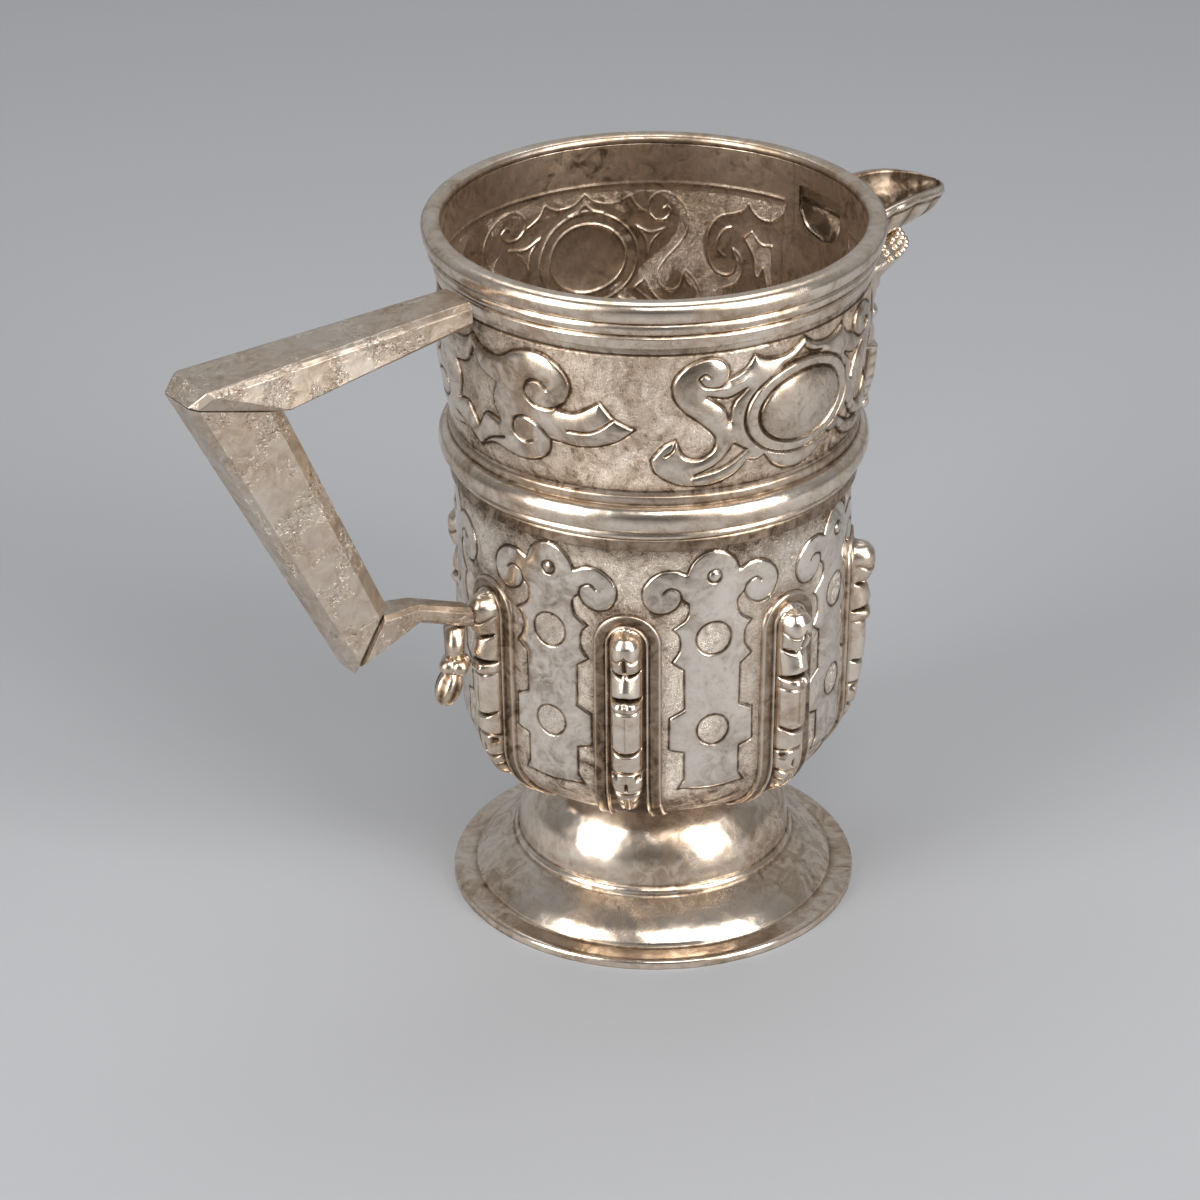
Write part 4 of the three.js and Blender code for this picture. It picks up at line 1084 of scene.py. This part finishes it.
def spout_shell(rows=110, steps=64):
    """s is the share of the way from the wall to the tip. The half width is SPOUT_HALF *
    sqrt(1 - s^4), the edge arches as a sine wave and rises a little, and the depth shrinks. A
    rounded lip follows the edge, and slanting flutes cover the outside near the tip."""
    s = (1 - (1 - np.linspace(0, 1, rows)) ** 1.7)[:, None]
    taper = np.sqrt(np.clip(1 - s**4, 0, 1))
    half = np.maximum(SPOUT_HALF * taper, 0.4)
    edge = SPOUT_EDGE + 2.6 * np.sin(np.pi * s ** (math.log(0.5) / math.log(0.55))) + 0.9 * s**2
    depth = np.maximum(SPOUT_DEPTH * (1 - 0.12 * s) * taper, 0.5)
    turn_angle = np.linspace(0, np.pi, steps)
    outer_x = -half * np.cos(turn_angle)
    outer_z = edge - depth * np.sin(turn_angle) ** 0.8
    thin = np.minimum(SPOUT_WALL, half * 0.5)
    deep = depth - np.minimum(SPOUT_WALL, depth * 0.4)
    inner_x = (-(half - thin) * np.cos(turn_angle))[:, ::-1]
    inner_z = (edge - deep * np.sin(turn_angle) ** 0.8)[:, ::-1]
    drop = edge - outer_z
    fade = smooth(1 - s, 0, 0.08)
    flutes = np.abs(np.sin(s * 15.0 + drop * 0.3)) ** 0.6
    fluted = smooth(s, 0.22, 0.4) * smooth(drop, 1.2, LIP) * smooth(depth - drop, 0.4, 1.6) * fade
    lip = np.sin(np.pi * np.clip(drop / LIP, 0, 1)) * (0.5 + 0.1 * np.sin(s * 40.0 + drop * 1.4)) * fade
    outer_x = outer_x + outer_x / half * (lip + (flutes - 1) * 0.8 * fluted)
    waves = np.sin(s * 38 + 2.2 * np.sin(inner_x * 0.9)) * fade
    inner_z = inner_z + 0.28 * waves * smooth(edge - inner_z, 0.8, 2.5)
    x = np.hstack([outer_x, inner_x])
    at_wall = np.sqrt(SPOUT_ROOT**2 - x**2)
    points = np.stack([at_wall + (SPOUT_TIP - at_wall) * s, x, np.hstack([outer_z, inner_z])], -1)
    outer_dark = np.clip((1 - flutes) * fluted + cut_line(drop - LIP, 0.3) * fade, 0, 1)
    # Inside, the channel is darker all over and in the waves' troughs, partly as dirt; near the wall it
    # is darkest, as painted shade where the channel runs into the jug. The inner value also rises towards
    # the wall.
    inside_dirt_and_shade = 0.62 + 0.2 * (waves < -0.4) + 0.3 * smooth(s, 0.3, 0.05)
    inner = 0.4 + 0.6 * smooth(s, 0.55, 0.2) + 0 * inner_x
    return tube(points, recess=np.hstack([outer_dark, inside_dirt_and_shade]), inner=np.hstack([0 * outer_x, inner]))


finished("spout_cast", [spout_shell()], CAST, ["spout"])

# %% [markdown]
# Under the spout hangs a cast ornament. Only its outline shows from the side, so its front is
# built from plain traditional forms: a beaded band, two round bosses, a veined leaf and an
# end bead.

# %% Ornament under the spout
LEAF_TOP = 116.5
ORNAMENT_TOP = 137.5
SEAT = 46.3  # the wall's radius, from which the frame gives the front
LEVELS = [99.5, 101.3, 108.0, LEAF_TOP, 119.0, 124.3, 130.0, 132.3, 135.2, ORNAMENT_TOP]
HALVES = [0.6, 2.1, 4.2, 5.4, 6.0, 6.3, 7.2, 7.65, 9.0, 6.3]
FRONTS = [11.6, 12.2, 12.8, 13.0, 13.0, 11.5, 12.5, 13.5, 21.0, 19.5]
RISES = [0, 0, 0, 0, 0, 0, 0, 1.3, 3.4, 4.3]


def section(level, t):
    """The ornament's front and back at a level. t runs from -1 to 1 across it: y is
    half * sin(90 t degrees), and the front bows out and rises with cos(90 t degrees)^0.6. Half,
    front and rise are the frame's own sizes. Below the leaf's top the back leaves the wall."""
    half, front, rise = (np.interp(level, LEVELS, sizes) for sizes in (HALVES, FRONTS, RISES))
    front = SEAT + front
    y = half * np.sin(t * np.pi / 2)
    free = smooth(LEAF_TOP - level, -0.6, 0.6)
    seat = wall_radius(level) + 0.3
    back, side = (np.sqrt(seat**2 - off**2) * (1 - free) + (front - 4.0) * free for off in (y, half))
    bow = 0.35 + 0.65 * np.cos(t * np.pi / 2) ** 0.6
    return side + (front - side) * bow, y, level + rise * bow, back


def ornament_shell(rows=90, steps=25):
    """A row of level sections, each a flat-backed, round-fronted bar, with the leaf's veins."""
    level = np.linspace(ORNAMENT_TOP, LEVELS[0], rows)[:, None]
    x, y, z, back = section(level, np.linspace(-1, 1, steps))
    slanting = np.abs(np.sin(np.abs(y) * 1.1 + level * 0.9)) ** 6
    veins = smooth(118.5 - level, 0, 2) * 0.5 * (cut_line(y, 0.4) + 0.6 * slanting)
    points_front = np.stack([x - veins, y, z], -1)
    points_back = np.stack([back, y, level + 0 * back], -1)[:, ::-1]
    # The back, which faces the wall, is painted darker as shade; the veins are darker as cuts.
    dark = np.hstack([np.clip(veins * 1.6, 0, 1), 0.4 + 0 * back])
    return tube(np.hstack([points_front, points_back]), recess=dark)


ornament = [ornament_shell()]
for level, count in ((137.6, 11), (136.6, 13), (135.6, 15)):
    for t in np.linspace(-0.86, 0.86, count):
        x, y, z, _ = section(level, t)
        ornament.append(ball((x - 0.3, y, z), (0.8, 0.75, 0.75), rows=8, columns=12))
ornament += [
    ball((SEAT + 12.1, 0, 130.2), (2.7, 3.4, 2.7)),
    ball((SEAT + 12.4, 0, 122.8), (2.2, 2.6, 2.2), rows=20, columns=30),
    ball((SEAT + 10.7, 0, 101.1), (2.3, 2.3, 2.3), rows=20, columns=30),
]
finished("ornament_cast", ornament, CAST, ["spout_ornament"])

# %% [markdown]
# Polished metal looks like what stands round it. A pale floor that fades to front and back, a
# dim room, a pale back wall and a few large soft lights give broad bright and dark reflections.

# %% Floor and lights


def soft_light(name, azimuth, elevation, distance, size, power):
    """A square lamp aimed at the jug's middle, given by its direction seen from there."""
    data = bpy.data.lights.new(name, "AREA")
    data.shape, data.energy = "RECTANGLE", power
    data.size, data.size_y = size
    lamp = placed(name, data)
    a, e = math.radians(azimuth), math.radians(elevation)
    direction = Vector((math.sin(a) * math.cos(e), -math.cos(a) * math.cos(e), math.sin(e)))
    lamp.location = in_frame(0, 0, 90) + direction * distance
    lamp.rotation_mode = "QUATERNION"
    lamp.rotation_quaternion = direction.to_track_quat("Z", "Y")


soft_light("left softbox", -86, 20, 0.9, (0.42, 0.8), 9)
soft_light("right softbox", 14, 20, 0.9, (0.42, 0.8), 9)
soft_light("front softbox", -18, 48, 1.1, (0.6, 0.3), 3.5)
soft_light("top softbox", 150, 70, 1.0, (0.8, 0.5), 3.0)

AWAY = (math.sin(math.radians(144)), -math.cos(math.radians(144)))  # from the camera to the jug
FLOOR_HALF = 4
paint = Finish(bpy.data.materials.new("pale floor"))
away = paint.along((*AWAY, 0), OBJECT_PLACE)
colour = paint.mix(away.ramp(-0.25, 0.9), (0.315, 0.318, 0.328), (0.485, 0.492, 0.507))
colour = paint.mix(away.ramp(-0.17, -0.4), colour, (0.13, 0.127, 0.125))
shader = paint.node("BsdfPrincipled", {}, {"Base Color": colour, "Roughness": 0.9})
paint.node("OutputMaterial", {}, {"Surface": shader})
floor_mesh = bpy.data.meshes.new("floor")
corners = [(x * FLOOR_HALF, y * FLOOR_HALF, 0) for x, y in ((-1, -1), (1, -1), (1, 1), (-1, 1))]
floor_mesh.from_pydata(corners, [], [(0, 1, 2, 3)])
floor_mesh.materials.append(paint.block)
floor = placed("floor", floor_mesh)

room = Finish(bpy.data.worlds.new("room with a pale back wall"))
bpy.context.scene.world = room.block
towards_back = room.along((*AWAY, 0.25), DIRECTION).ramp(-0.1, 0.6)
colour = room.mix(towards_back, (0.09, 0.09, 0.095), (0.36, 0.37, 0.385))
light = room.node("Background", {}, {"Color": colour, "Strength": 1.0})
room.node("OutputWorld", {}, {"Surface": light})
print("lights:", ", ".join(lamp.name for lamp in bpy.data.lights))

# %% Update the scene
bpy.context.view_layer.update()
